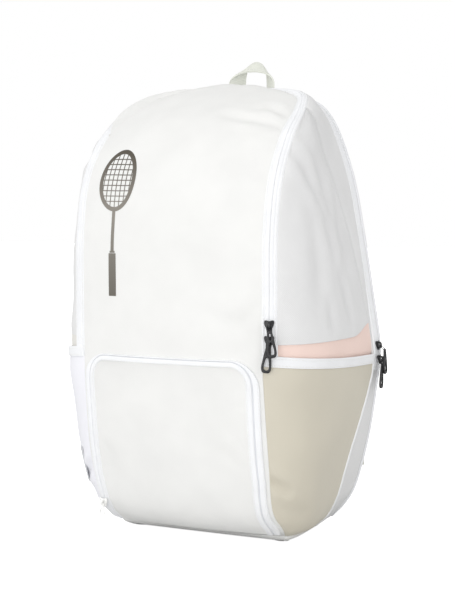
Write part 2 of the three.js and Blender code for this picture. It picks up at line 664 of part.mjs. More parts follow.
// A pull hangs from its bar: two arms round the bail, then a tab with a long loop, stepped
// outwards by `crank` so that it clears what hangs under it. Its own origin is the bar's middle.
function pullGeometry(crank, length = PULL.length) {
  const { width, thick, bar } = PULL;
  const neck = 6.4;
  const arm = 1.1;
  const window = SLIDER.bailWidth + 1.2;
  const head = roundRect(0, -neck, window + 2 * arm, neck + bar / 2, 0.5);
  head.holes.push(roundRect(0, -neck + 1.6, window, neck - 1.6 - bar / 2, 0.3, THREE.Path));
  const tab = roundRect(0, -length, width, length - neck + 1.4, 3.2);
  tab.holes.push(roundRect(0, -length + 2.4, width - 4.8, length * 0.42, 2, THREE.Path));
  const step = (y) => crank * smooth((-y - bar) / (neck - 2));
  const bend = (geometry) => {
    const place = geometry.attributes.position;
    for (let i = 0; i < place.count; i++) place.setZ(i, place.getZ(i) + step(place.getY(i)));
    return geometry;
  };
  const headSolid = bend(extrude(head, bar, -bar / 2));
  const tabSolid = bend(extrude(tab, thick, -thick / 2 + 0.2));
  return joined(headSolid, tabSolid);
}
function addSlider(name, frame, crank, material, length) {
  addPlaced(name + "_slider", sliderGeometry(), material, frame);
  const across = V(frame.across.x, frame.across.y, 0).normalize();
  const up = V(0, 0, 1);
  const origin = frame.origin.clone().addScaledVector(frame.out, barLift());
  const hung = { origin, across, up, out: across.clone().cross(up) };
  addPlaced(name + "_pull", pullGeometry(crank, length), material, hung);
}
const lineAt = (distance) => (u, offset = 0) => sideAt(u, distance(u) + offset);
const frontCoil = lineAt(() => TAPE_HALF);
const mainCoil = lineAt(fromRear(TAPE_HALF));
const FRONT_REACH = 80; // how far the front sliders run straight
const MAIN_REACH = 40;
const frontFrame = zipFrame(frontCoil, FRONT_SLIDER_Z[0], FRONT_REACH);
const mainFrame = zipFrame(mainCoil, MAIN_SLIDER_Z[0], MAIN_REACH);
function below(frame, distance) {
  return { ...frame, origin: frame.origin.clone().addScaledVector(frame.up, -distance) };
}
addSlider("front_zip_upper", frontFrame, PULL.crank, BLACK);
addSlider("front_zip_lower", below(frontFrame, FRONT_SLIDER_Z[0] - FRONT_SLIDER_Z[1]), 0, BLACK);
addSlider("main_zip_upper", mainFrame, PULL.crank, BLACK);
addSlider("main_zip_lower", below(mainFrame, MAIN_SLIDER_Z[0] - MAIN_SLIDER_Z[1]), 0, BLACK);

// The front pocket's slider is parked at the foot of the left run of its zip.
const POCKET_SLIDER_Z = [40, 84];
const pocketCoil = (z) => {
  const x = -pocketRow(z, BAND_WIDTH + COIL_GAP / 2);
  return frontAt(x, z);
};
const pocketLow = pocketCoil(POCKET_SLIDER_Z[0]);
const pocketUp = pocketCoil(POCKET_SLIDER_Z[1]).sub(pocketLow).normalize();
const pocketAcross = V(1, -0.12, 0);
pocketAcross.addScaledVector(pocketUp, -pocketAcross.dot(pocketUp)).normalize();
const pocketOut = pocketAcross.clone().cross(pocketUp);
const POCKET_SLIDER_LIFT = 6.2;
const pocketFrame = {
  origin: pocketLow.addScaledVector(pocketOut, POCKET_SLIDER_LIFT),
  across: pocketAcross,
  up: pocketUp,
  out: pocketOut,
};
addSlider("pocket_zip", pocketFrame, 0, PALE, 20);

// ---- Back and carrying system -------------------------------------------------------------

const backSurface = (a, b) => backPoint(2 * b - 1, mix(0.15, 12.9, a));
add("back_panel", slab(20, 8, backSurface, 0, FOAM_THICK), WHITE);

const CORD_SIDES = 5;
const BINDING_RADIUS = 1.7;
const bindingSection = [...Array(CORD_SIDES).keys()].map((i) => {
  const angle = (2 * Math.PI * i) / CORD_SIDES;
  return [BINDING_RADIUS * Math.cos(angle), BINDING_RADIUS * Math.sin(angle)];
});
function bindingFrame(t) {
  const s = mix(0.1, 2 * TOP - 0.1, t);
  const u = s <= TOP ? s : 2 * TOP - s;
  const side = s <= TOP ? 1 : -1;
  const out = awayFrom(backSeam, u);
  const origin = backSeam(u).addScaledVector(out, 0.2);
  origin.y += 1.9;
  origin.x *= side;
  out.x *= side;
  return { origin, across: out, up: V(0, 1, 0) };
}
add("back_binding", sweep(bindingSection, 48, bindingFrame), TAPE);

const PAD = { inner: 12, outer: 98, foot: 118, top: 414, y: 107.2, thick: 10 };
const padMiddle = (PAD.inner + PAD.outer) / 2;
const padOutline = roundRect(padMiddle, PAD.foot, PAD.outer - PAD.inner, PAD.top - PAD.foot, 24);
addPair("back_pad", upright(padOutline, PAD.y, PAD.thick, 3.2), GREY);
add("lumbar_pad", upright(roundRect(0, 46, 190, 62, 22), PAD.y, PAD.thick, 3.2), GREY);

const YOKE_THICK = 2.2;
const yokePlate = upright(roundRect(0, 424, 150, 46, 12), PAD.y, YOKE_THICK);
const yokeRoot = (x) => new THREE.BoxGeometry(14, 4, 16).translate(x, PAD.y + YOKE_THICK + 1.4, 446);
add("strap_yoke", joined(yokePlate, yokeRoot(STRAP_PATH[0][0]), yokeRoot(-STRAP_PATH[0][0])), WHITE);

const strapFrames = framesOn(STRAP_PATH, V(1, 0, 0));
const strapWidths = STRAP_WIDTH.map((w, i) => [i / (STRAP_WIDTH.length - 1), w / STRAP_WIDTH[0]]);
const strap = sweep(padSection(STRAP_WIDTH[0], STRAP_THICK), 16, (t) => ({
  ...strapFrames(t),
  scale: along(strapWidths, t),
}));
addPair("shoulder_strap", strap, WHITE);

// The adjuster under each strap: a frame with two windows, and a bar between them.
const LOCK = { width: 33, height: 27, thick: 3.6, window: 26.4 };
const lockShape = roundRect(0, -LOCK.height, LOCK.width, LOCK.height, 4);
lockShape.holes.push(roundRect(0, -LOCK.height * 0.46, LOCK.window, 7, 1, THREE.Path));
lockShape.holes.push(roundRect(0, -LOCK.height + 4, LOCK.window, 7.2, 1, THREE.Path));
const strapEnd = strapFrames(1);
const strapDown = strapEnd.across.clone().cross(strapEnd.up);
if (strapDown.z > 0) strapDown.negate();
const lockFrame = {
  origin: strapEnd.origin.clone().addScaledVector(strapDown, 2),
  across: strapEnd.across,
  up: strapDown.clone().negate(),
};
lockFrame.out = lockFrame.across.clone().cross(lockFrame.up);
for (const [name, side] of [["right", 1], ["left", -1]]) {
  const flip = (v) => V(v.x * side, v.y, v.z);
  addPlaced("strap_adjuster_" + name, extrude(lockShape, LOCK.thick, -LOCK.thick / 2), BLACK, {
    origin: flip(lockFrame.origin),
    across: flip(lockFrame.across).multiplyScalar(side),
    up: flip(lockFrame.up),
    out: flip(lockFrame.out),
  });
}
const webStart = lockFrame.origin.clone().addScaledVector(strapDown, LOCK.height * 0.68);
const webTop = webStart.clone().addScaledVector(lockFrame.out, -3.6 * Math.sign(lockFrame.out.y));
const webBend = webTop.clone().addScaledVector(strapDown, 16);
const webEnd = [ANCHOR[0], ANCHOR[1] + 2.2, ANCHOR[2] + 8];
const webPath = [webTop.toArray(), webBend.toArray(), [117, 116, 140], [122, 111, 96], webEnd];
addPair("strap_webbing", sweep(box(WEB_WIDTH, WEB_THICK), 10, framesOn(webPath, V(1, 0, 0))), WEBBING);
const TAB = [[-22, -18], [4, -8], [13, 26], [-14, 26], [-30, 2]];
const tab = toShape(TAB.map(([x, z]) => [ANCHOR[0] + x, ANCHOR[2] + z]));
addPair("strap_anchor", upright(tab, ANCHOR[1] - 3, 2.2), WHITE);

// The hang loop: a ribbon whose front edge is wide and low and whose rear edge is narrow and tall.
function loopEdge(t, span, rise) {
  const angle = Math.PI * t;
  return V(-span * Math.cos(angle), 0, rise * Math.sin(angle) ** 0.75);
}
const handleSurface = (a, b) => {
  const span = mix(HANDLE.frontSpan, HANDLE.rearSpan, b);
  const p = loopEdge(a, span, mix(HANDLE.frontRise, HANDLE.rearRise, b));
  p.y = HANDLE.y - HANDLE.width / 2 + b * HANDLE.width;
  p.z += HANDLE.foot;
  return p;
};
add("hang_loop", slab(20, 2, handleSurface, 0.9, 1.8), WEBBING);

export default backpack;
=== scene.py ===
"""The looks of the racket backpack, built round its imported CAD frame. Metres, +Z up, +Y towards the
wearer's back, +X to the right of someone looking at the front. Dimensions are written in
millimetres and turned into metres once, by MM."""

import math

import bmesh
import bpy
import numpy as np
from mathutils import Matrix, Vector
from mathutils.bvhtree import BVHTree


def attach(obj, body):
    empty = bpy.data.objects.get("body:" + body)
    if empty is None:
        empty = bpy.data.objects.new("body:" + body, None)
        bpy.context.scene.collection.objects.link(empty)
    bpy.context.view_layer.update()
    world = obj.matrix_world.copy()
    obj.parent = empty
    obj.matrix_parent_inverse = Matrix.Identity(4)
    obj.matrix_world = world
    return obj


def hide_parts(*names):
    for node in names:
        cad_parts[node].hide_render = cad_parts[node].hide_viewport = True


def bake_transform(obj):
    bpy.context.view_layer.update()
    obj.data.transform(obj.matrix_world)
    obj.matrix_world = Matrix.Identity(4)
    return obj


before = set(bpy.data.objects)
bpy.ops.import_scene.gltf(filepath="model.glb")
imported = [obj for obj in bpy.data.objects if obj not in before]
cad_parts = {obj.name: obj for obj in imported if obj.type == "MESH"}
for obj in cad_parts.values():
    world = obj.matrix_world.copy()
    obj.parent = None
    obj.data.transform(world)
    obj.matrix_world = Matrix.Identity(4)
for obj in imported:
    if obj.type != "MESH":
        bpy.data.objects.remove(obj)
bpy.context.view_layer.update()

MM = 0.001

# ---- Driving dimensions, as in the CAD part ----------------------------------------------------

# The right half of the two long seams, from the base to the middle of the top.
FRONT_SEAM = MM * np.array([
    [101, -31, 9], [107, -50, 21], [106, -74, 46], [108.5, -89, 100], [108, -97, 155],
    [107, -101, 205], [107, -101.5, 270], [107, -100.5, 335], [107, -88, 392],
    [105, -54, 438], [99, -8, 466], [84, 30, 483], [50, 45, 491], [0, 49, 493],
])
BACK_SEAM = MM * np.array([
    [104, 84, 7], [117, 96, 24], [129, 100, 48], [143, 100, 100], [152, 100, 155],
    [156.5, 100, 205], [147, 100, 270], [136, 100, 335], [124.5, 100, 392],
    [109, 100, 438], [95.5, 100, 464], [78, 100, 480], [46, 100, 490], [0, 100, 494],
])
SIDE_BULGE = MM * np.array([14, 30, 40, 49, 55, 60, 60, 52, 48, 47, 36, 15, 6, 5.0])
FRONT_CROWN = MM * np.array([3, 7, 11, 13, 13, 13, 13, 13, 13, 13, 13, 12, 7, 0.0])
BACK_CROWN = 5 * MM
TOP = len(FRONT_SEAM) - 1

FLAP_FOLD_Z = 262 * MM
FLAP_BEND = 20 * MM  # the zone round the fold reaches this far on either side of it
ZIP_FOOT = 5.03  # behind the side pocket's hem
MAIN_ZIP_END = 4.5
TAPE_HALF = 7.5 * MM
TAPE_EDGE = 15.4 * MM
CLOTH = 2.4 * MM
ROLL = 0.7 * MM  # how far a panel's edge rolls in at a seam
SEAM = 0.12 * MM  # half the gap that shows between two sewn panels

UPPER_SEAM_KNOTS = [(4.5, 17.5), (5, 18), (5.5, 20), (6, 25), (7, 40), (8, 66), (9, 96), (10, 108)]
LOWER_SEAM_KNOTS = [(0, 50), (1.4, 55), (2.5, 56), (3, 50), (3.5, 37), (4, 24), (4.4, 18), (5.3, 17)]
SIDE_PANEL_FOOT = 5.28
MOUTH_TOP = (5.12, 4.88)
MOUTH_BAND = 0.2
POCKET_FOOT = 0.12
POCKET_DEPTH = 15 * MM
POCKET_WALL_TOP = 5.5
WALL_INSET = 4.8 * MM

POCKET_TOP_Z = 206 * MM
POCKET_FOOT_Z = 17 * MM
POCKET_FOLD_Z = 50 * MM
POCKET_BEND = 9 * MM
POCKET_HALF_WIDTH = 104 * MM
POCKET_CORNER = 30 * MM
POCKET_LIFT = 3.6 * MM
BAND_WIDTH = 6.5 * MM
WELT_INSET = 7.5 * MM
FRONT_PANEL_RECESS = 15 * MM

STRAP_PATH = MM * np.array([
    [40, 119, 446], [45, 138, 436], [57, 160, 402], [73, 168, 342], [89, 160, 284],
    [101, 144, 236], [106, 135, 212.0],
])
STRAP_WIDTH = MM * np.array([44, 50, 60, 62, 60, 50, 36.0])
WEB_WIDTH = 25 * MM
WEB_THICK = 1.6 * MM
ANCHOR = MM * np.array([124, 107, 58.0])
PAD_Y = 107.2 * MM
PAD_THICK = 10 * MM
HANDLE = {
    "y": 99, "foot": 502, "width": 14, "front_span": 29, "rear_span": 14, "front_rise": 16, "rear_rise": 28,
}

# ---- Curves and surfaces -----------------------------------------------------------------------


def unit(v):
    return v / np.maximum(np.linalg.norm(v, axis=-1, keepdims=True), 1e-12)


def smooth(x):
    t = np.clip(x, 0, 1)
    return t * t * (3 - 2 * t)


def mix(a, b, t):
    return a + (b - a) * t


def spline(values, u, mirror=1.0):
    """A smooth curve through values at 0, 1, 2 and so on. Past the last it mirrors, with a sign."""
    n = len(values) - 1
    row = np.concatenate([[2 * values[0] - values[1]], values, [mirror * values[n - 1]]])
    i = np.clip(np.floor(u).astype(int), 0, n - 1)
    f = u - i
    a, b, c, d = (row[i + k] for k in range(4))
    return 0.5 * (2 * b + (c - a) * f + (2 * a - 5 * b + 4 * c - d) * f**2 + (3 * b - a - 3 * c + d) * f**3)


def seam(table, u):
    """The points of a seam at u, which runs from the base to the middle of the top."""
    u = np.asarray(u, float)
    return np.stack([spline(table[:, 0], u, -1.0), spline(table[:, 1], u), spline(table[:, 2], u)], -1)


def away_from(table, u):
    """Square to a seam in the XZ plane, away from the bag, and level near the base."""
    u = np.asarray(u, float)
    t = seam(table, u + 0.01) - seam(table, u - 0.01)
    return unit(np.stack([t[..., 2], 0 * u, -t[..., 0] * smooth(u / 2)], -1))


def side_point(u, v):
    """The right side: u runs up the seams, v from the front seam to the back seam."""
    u, v = np.broadcast_arrays(np.asarray(u, float), np.asarray(v, float))
    p0, p3 = seam(FRONT_SEAM, u), seam(BACK_SEAM, u)
    bulge = spline(SIDE_BULGE, u)[..., None]
    depth = np.linalg.norm(p3 - p0, axis=-1)
    p1 = p0 + away_from(FRONT_SEAM, u) * bulge
    p1[..., 1] += 0.3 * bulge[..., 0]
    p2 = p3 + away_from(BACK_SEAM, u) * 3 * MM
    p2[..., 1] -= 0.45 * depth
    v = v[..., None]
    w = 1 - v
    return p0 * w**3 + p1 * 3 * w * w * v + p2 * 3 * w * v * v + p3 * v**3


RULER_U = np.linspace(0, TOP, 40 * TOP + 1)
RULER_STEPS = 64
_across = side_point(RULER_U[:, None], np.linspace(0, 1, RULER_STEPS + 1)[None, :])
_pieces = np.linalg.norm(np.diff(_across, axis=1), axis=-1)
RULER = np.concatenate([np.zeros((len(RULER_U), 1)), np.cumsum(_pieces, 1)], 1)


def side_length(u):
    return np.interp(u, RULER_U, RULER[:, -1])


def side_at(u, distance):
    """The point of the right side at a height u and a distance in metres from the front seam."""
    u, distance = np.broadcast_arrays(np.asarray(u, float), np.asarray(distance, float))
    k = np.clip(u / TOP * (len(RULER_U) - 1), 0, len(RULER_U) - 1.001)
    i = k.astype(int)
    f = (k - i)[..., None]
    rows = RULER[i] * (1 - f) + RULER[i + 1] * f
    j = np.clip((rows < distance[..., None]).sum(-1), 1, RULER_STEPS)[..., None]
    low = np.take_along_axis(rows, j - 1, -1)
    high = np.take_along_axis(rows, j, -1)
    v = (j - 1 + (distance[..., None] - low) / (high - low)) / RULER_STEPS
    return side_point(u, np.clip(v[..., 0], -0.05, 1.05))


def both_sides(s, distance):
    """As side_at, with s going up the right side, over the top and down the left."""
    u = np.where(s <= TOP, s, 2 * TOP - s)
    p = side_at(u, distance(u))
    p[..., 0] *= np.where(s <= TOP, 1, -1)
    return p


def front_point(s, u, inset=MM):
    """The front: s from -1 at the left seam to 1 at the right."""
    s, u = np.broadcast_arrays(np.asarray(s, float), np.asarray(u, float))
    t = seam(FRONT_SEAM, np.minimum(u + 0.15, TOP)) - seam(FRONT_SEAM, u - 0.15)
    normal = unit(np.stack([0 * u, -t[..., 2], t[..., 1]], -1))
    inward = unit(np.cross(t, normal))
    inward *= -np.sign(inward[..., :1])
    edge = seam(FRONT_SEAM, u) + inward * inset
    crown = spline(FRONT_CROWN, u) * (1 - np.abs(s) ** 2.4)
    flat = np.stack([s * np.maximum(edge[..., 0], 0.5 * MM), edge[..., 1], edge[..., 2]], -1)
    return flat + normal * crown[..., None]


def back_point(s, u, inset):
    """The back, with s as for the front."""
    s, u = np.broadcast_arrays(np.asarray(s, float), np.asarray(u, float))
    x, y, z = np.moveaxis(seam(BACK_SEAM, u) - away_from(BACK_SEAM, u) * inset, -1, 0)
    return np.stack([s * np.maximum(x, 0.5 * MM), y + MM + BACK_CROWN * (1 - s * s), z], -1)


def constant(distance):
    """A line at one distance from the front seam, as a function of u."""
    return lambda u: distance + 0 * u


def from_rear(distance):
    """The same from the back seam."""
    return lambda u: side_length(u) - distance


def height_at(surface, z):
    """The u at which surface(u) reaches the height z, below the round of the top."""
    z = np.asarray(z, float)
    low, high = np.zeros(z.shape), np.full(z.shape, 10.5)
    for _ in range(34):
        middle = (low + high) / 2
        under = surface(middle)[..., 2] < z
        low = np.where(under, middle, low)
        high = np.where(under, high, middle)
    return (low + high) / 2


def front_at(x, z):
    """The s, u and point of the front at a place given by its x and z."""
    def share(u):
        return x / (seam(FRONT_SEAM, u)[..., 0] - MM)

    u = height_at(lambda w: front_point(share(w), w), z)
    return share(u), u, front_point(share(u), u)


def knots(table, u):
    """Straight-line interpolation in a list of pairs whose second value is in millimetres."""
    return np.interp(u, [k[0] for k in table], [k[1] * MM for k in table])


def upper_seam(u):
    return side_length(u) - knots(UPPER_SEAM_KNOTS, u)


def lower_seam(u):
    return side_length(u) - knots(LOWER_SEAM_KNOTS, u)


def lengths_along(points):
    """The way along a line from its first point to each of its points."""
    return np.concatenate([[0], np.cumsum(np.linalg.norm(np.diff(points, axis=0), axis=1))])


# ---- Materials ---------------------------------------------------------------------------------


def linear(hex_colour):
    values = [int(hex_colour[i:i + 2], 16) / 255 for i in (1, 3, 5)]
    return [v / 12.92 if v <= 0.04045 else ((v + 0.055) / 1.055) ** 2.4 for v in values] + [1.0]


class Nodes:
    """A node tree: add() makes a node, and a socket given as a value is linked."""

    def __init__(self, tree):
        self.tree = tree

    def add(self, kind, inputs=(), **settings):
        made = self.tree.nodes.new("ShaderNode" + kind)
        for key, value in settings.items():
            setattr(made, key, value)
        for key, value in dict(inputs).items():
            self.put(made, key, value)
        return made

    def put(self, target, key, value):
        if isinstance(value, bpy.types.NodeSocket):
            self.tree.links.new(value, target.inputs[key])
        else:
            target.inputs[key].default_value = value

    def math(self, operation, a, b=0.0):
        return self.add("Math", {0: a, 1: b}, operation=operation).outputs[0]

    def place(self, coords):
        return self.add("TexCoord").outputs[coords]

    def noise(self, place, scale, detail=3.0):
        return self.add("TexNoise", {"Vector": place, "Scale": scale, "Detail": detail}).outputs["Fac"]

    def ranged(self, value, start, end, low=0.0, high=1.0):
        """A value that goes from start to end, mapped to low to high."""
        inputs = {"Value": value, "From Min": start, "From Max": end, "To Min": low, "To Max": high}
        return self.add("MapRange", inputs).outputs[0]

    def spread(self, noise, low, high):
        """Noise, which stays near the middle of 0 to 1, mapped to low to high."""
        return self.ranged(noise, 0.3, 0.7, low, high)

    def shaded(self, colour, value):
        """The colour made darker or lighter by a value."""
        return self.add("HueSaturation", {"Color": colour, "Value": value}).outputs[0]

    def tint(self, colour, noise, low, high):
        return self.shaded(linear(colour), self.spread(noise, low, high))

    def bump(self, height, distance, strength=1.0, before=None):
        inputs = {"Height": height, "Distance": distance, "Strength": strength}
        if before is not None:
            inputs["Normal"] = before
        return self.add("Bump", inputs).outputs[0]


class Shader(Nodes):
    """A material's nodes round its Principled shader."""

    def __init__(self, name):
        self.material = bpy.data.materials.new(name)
        self.material.use_nodes = True
        super().__init__(self.material.node_tree)
        self.bsdf = self.tree.nodes["Principled BSDF"]

    def set(self, **inputs):
        for key, value in inputs.items():
            self.put(self.bsdf, key.replace("_", " "), value)


def threads(shader, place, pitch):
    """A plain weave: threads over and under each other, pitch metres apart."""
    axes = shader.add("SeparateXYZ", {0: place}).outputs
    waves = [shader.math("SINE", shader.math("MULTIPLY", axes[k], math.pi / pitch)) for k in (0, 1)]
    return shader.math("MULTIPLY", waves[0], waves[1])


def woven(name, colour, pitch=0.7, rough=0.82):
    """Woven polyester cloth. The weave follows the cloth's own length and width."""
    shader = Shader(name)
    cloth = shader.place("UV")
    body = shader.place("Object")
    wide = shader.noise(body, 24, 2)
    fine = shader.noise(body, 900, 2)
    weave = threads(shader, cloth, pitch * MM)
    shade = shader.tint(colour, wide, 0.98, 1.02)
    relief = shader.bump(weave, 0.09 * MM, 0.8, shader.bump(fine, 0.05 * MM, 0.5))
    # The weave's low places are made darker, down to 0.93: painted shade between the threads.
    shader.set(Base_Color=shader.shaded(shade, shader.ranged(weave, -1.0, 1.0, 0.93, 1.0)), Normal=relief)
    shader.set(Roughness=shader.spread(fine, rough - 0.05, rough + 0.05), Specular_IOR_Level=0.3)
    shader.set(Sheen_Weight=0.12, Sheen_Roughness=0.4)
    return shader.material


def coated(name, colour, rough=0.46):
    """Cloth under a smooth coating: a faint grain, a faint weave and a soft gloss."""
    shader = Shader(name)
    body = shader.place("Object")
    grain = shader.noise(body, 520, 4)
    wide = shader.noise(body, 14, 2)
    first = shader.bump(threads(shader, shader.place("UV"), 0.9 * MM), 0.03 * MM, 0.5)
    shade = shader.tint(colour, wide, 0.975, 1.02)
    shader.set(Base_Color=shade, Roughness=shader.spread(grain, rough - 0.06, rough + 0.07))
    shader.set(Normal=shader.bump(grain, 0.06 * MM, 0.5, first))
    shader.set(Specular_IOR_Level=0.42, Sheen_Weight=0.08)
    return shader.material


def ribbed(name, colour, pitch=1.5, rough=0.7, relief=0.12, dark=0.9):
    """Webbing and tape: ribs across its length with fine threads along them, and painted shade in the grooves,
    down to dark.
    """
    shader = Shader(name)
    axes = shader.add("SeparateXYZ", {0: shader.place("UV")}).outputs
    slant = shader.math("ADD", axes[0], shader.math("MULTIPLY", axes[1], 0.45))
    rib = shader.math("SINE", shader.math("MULTIPLY", slant, 2 * math.pi / (pitch * MM)))
    thread = shader.math("SINE", shader.math("MULTIPLY", axes[1], 2 * math.pi / (0.8 * MM)))
    both = shader.math("ADD", rib, shader.math("MULTIPLY", thread, 0.5))
    shade = shader.tint(colour, shader.noise(shader.place("Object"), 40, 2), 0.975, 1.015)
    # The grooves are made darker, down to dark: painted shade.
    shader.set(Base_Color=shader.shaded(shade, shader.ranged(both, -1.5, 1.5, dark, 1.0)))
    shader.set(Roughness=rough, Normal=shader.bump(both, relief * MM, 0.8))
    shader.set(Sheen_Weight=0.15, Sheen_Roughness=0.35, Specular_IOR_Level=0.35)
    return shader.material


def spacer_mesh(name, colour):
    """Spacer mesh: a hexagon net of small dimples over a soft ground."""
    shader = Shader(name)
    axes = shader.add("SeparateXYZ", {0: shader.place("Object")}).outputs
    turns = 2 * math.pi / (3.2 * MM)
    waves = []
    for turn in (0, 60, 120):
        angle = math.radians(turn)
        x = shader.math("MULTIPLY", axes[0], math.cos(angle) * turns)
        z = shader.math("MULTIPLY", axes[2], math.sin(angle) * turns)
        waves.append(shader.math("COSINE", shader.math("ADD", x, z)))
    net = shader.math("ADD", shader.math("ADD", waves[0], waves[1]), waves[2])
    hole = shader.ranged(net, 0.4, 2.2, 1.0, 0.5)
    fuzz = shader.bump(shader.noise(shader.place("Object"), 1500, 2), 0.08 * MM, 0.6)
    # The dimples are made darker, down to half: painted shade in the holes.
    shader.set(Base_Color=shader.shaded(linear(colour), hole))
    shader.set(Normal=shader.bump(hole, 0.5 * MM, 0.8, fuzz))
    shader.set(Roughness=0.92, Sheen_Weight=0.2, Specular_IOR_Level=0.2)
    return shader.material


def moulded(name, colour, rough=0.36):
    """Moulded plastic with a fine spark texture."""
    shader = Shader(name)
    body = shader.place("Object")
    spark = shader.noise(body, 2600, 2)
    rub = shader.noise(body, 160, 3)
    shader.set(Base_Color=shader.tint(colour, rub, 0.85, 1.25), Normal=shader.bump(spark, 0.03 * MM, 0.5))
    shader.set(Roughness=shader.spread(rub, rough - 0.06, rough + 0.1), Specular_IOR_Level=0.5)
    return shader.material


def printed(name):
    """A transfer print whose dark taupe fades to a lighter one halfway down and back."""
    shader = Shader(name)
    body = shader.place("Object")
    height = shader.add("SeparateXYZ", {0: body}).outputs[2]
    ramp = shader.add("ValToRGB", {"Fac": shader.ranged(height, 268 * MM, 424 * MM)})
    stops = ramp.color_ramp.elements
    stops[0].color = linear("#6c6860")
    stops[1].color = linear("#4c4539")
    middle = stops.new(0.55)
    middle.color = linear("#918c84")
    shader.set(Base_Color=ramp.outputs[0], Metallic=0.35)
    shader.set(Roughness=shader.spread(shader.noise(body, 300, 2), 0.34, 0.5))
    shader.set(Normal=shader.bump(shader.noise(body, 1400, 2), 0.02 * MM, 0.5))
    return shader.material


FINISH = {
    "white_fabric": woven("white_cloth", "#eeeeec"),
    "grey_fabric": woven("side_cloth", "#e6e6e6", pitch=0.8, rough=0.86),
    "beige_coated": coated("beige_coating", "#cfc9b9"),
    "white_coated": coated("white_coating", "#eeeef3"),
    "pink_lining": woven("pink_cloth", "#f8dfd5", pitch=0.5, rough=0.8),
    "lining": woven("lining_cloth", "#e6e4df", pitch=0.5, rough=0.85),
    "zip_tape": ribbed("zip_tape_weave", "#f4f5f7", pitch=1.0, relief=0.05, dark=0.96),
    "webbing": ribbed("webbing_weave", "#e8eae0", pitch=2.2),
    "stiffener": woven("foam_sheet", "#dddbd6", pitch=1.4, rough=0.9),
    "air_mesh": spacer_mesh("spacer_mesh", "#dfdfde"),
    "print": printed("transfer_print"),
    "black_plastic": moulded("black_plastic", "#17171a"),
    "pale_metal": moulded("pale_slider", "#f0f0ee", rough=0.4),
    "reflective_grey": coated("grey_patch", "#c9cacd", rough=0.4),
}
THREAD = woven("thread", "#f3f3f1", pitch=0.3, rough=0.6)
COIL = ribbed("coil_plastic", "#eceef2", pitch=1.2, rough=0.45)

# ---- Mesh building -----------------------------------------------------------------------------


def make_object(name, vertices, faces, materials, uvs=None, face_materials=None, sharp=50):
    mesh = bpy.data.meshes.new(name)
    mesh.from_pydata(np.asarray(vertices).reshape(-1, 3).tolist(), [], faces)
    for material in materials:
        mesh.materials.append(material)
    if face_materials is not None:
        mesh.polygons.foreach_set("material_index", face_materials)
    layer = mesh.uv_layers.new(name="UVMap", do_init=False)
    if uvs is not None:
        loops = np.zeros(len(mesh.loops), np.int32)
        mesh.loops.foreach_get("vertex_index", loops)
        layer.data.foreach_set("uv", np.asarray(uvs, float)[loops].ravel())
    mesh.polygons.foreach_set("use_smooth", [True] * len(mesh.polygons))
    mesh.set_sharp_from_angle(angle=math.radians(sharp))
    mesh.validate()
    piece = bpy.data.objects.new(name, mesh)
    bpy.context.scene.collection.objects.link(piece)
    return piece


def flat_uv(along, across):
    """The flat place, in metres, of each point of a grid with these rows and columns."""
    return np.stack(np.meshgrid(along, across, indexing="ij"), -1).reshape(-1, 2)


def grid_faces(n, m):
    """The quads of a grid of n by m points, and the points round its edge in order."""
    index = np.arange(n * m).reshape(n, m)
    quads = np.stack([index[:-1, :-1], index[1:, :-1], index[1:, 1:], index[:-1, 1:]], -1).reshape(-1, 4)
    return quads, np.concatenate([index[:, 0], index[-1, 1:], index[-2::-1, -1], index[0, -2:0:-1]])


def closed_grid(n, m, turned):
    """The faces of a closed form with a grid on its outside, the same grid after it inside, and a rim."""
    quads, ring = grid_faces(n, m)
    after = np.roll(ring, -1)
    rim = np.stack([ring, after, after + n * m, ring + n * m], -1)
    if turned:
        quads = quads[:, ::-1]
    else:
        rim = rim[:, ::-1]
    return np.concatenate([quads, (quads + n * m)[:, ::-1], rim])


def stand_for(piece, nodes):
    if nodes:
        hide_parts(*nodes)


def settle(piece, body, slot, *nodes):
    """Puts a piece on its body and hides the CAD nodes it stands for. Its slot is not used."""
    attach(piece, body)
    stand_for(piece, nodes)


def bend_over(piece, body, zone, slot, *nodes):
    """Bakes a piece's place into its mesh and hides the CAD nodes it stands for. Its body, zone and slot are
    not used.
    """
    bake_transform(piece)
    stand_for(piece, nodes)


FLAP_ZONE = (FLAP_FOLD_Z - FLAP_BEND, FLAP_FOLD_Z + FLAP_BEND)
POCKET_ZONE = (POCKET_FOLD_Z - POCKET_BEND, POCKET_FOLD_Z + POCKET_BEND)
CORE_LOW = np.array([0, -20, 60]) * MM
CORE_HIGH = np.array([0, 60, 420]) * MM


def outward(points):
    """Unit normals of a grid of points, away from the bag's core."""
    normals = unit(np.cross(np.gradient(points, axis=0), np.gradient(points, axis=1)))
    core = np.clip(points, CORE_LOW, CORE_HIGH)
    if np.sum(normals * (points - core)) < 0:
        normals = -normals
    return normals


def steps(length, detail, roll):
    """Values from 0 to 1, with more of them near both ends, where the edge is rolled."""
    count = max(int(round(length / detail)), 2)
    near = roll / length * np.array([0.08, 0.25, 0.5, 0.8, 1.2])
    even = np.linspace(0, 1, count + 1)
    even = even[(even > near[-1] * 1.3) & (even < 1 - near[-1] * 1.3)]
    return np.concatenate([[0.0], near, even, 1 - near[::-1], [1.0]])


def grid_size(surface):
    """The length of a surface's two middle lines, in metres."""
    t = np.linspace(0, 1, 80)[:, None]
    half = np.full(t.shape, 0.5)
    lines = (surface(t, half)[:, 0], surface(half.T, t.T)[0])
    return tuple(float(lengths_along(line)[-1]) for line in lines)


def ripple(x, pitch, seed):
    """An irregular wave along x, about pitch metres from crest to crest."""
    total = 0 * x
    for share, turn in zip((0.62, 1.0, 1.47), np.random.default_rng(seed).uniform(0, 2 * math.pi, 3)):
        total = total + np.sin(2 * math.pi * x / (pitch * share) + turn)
    return total / 3


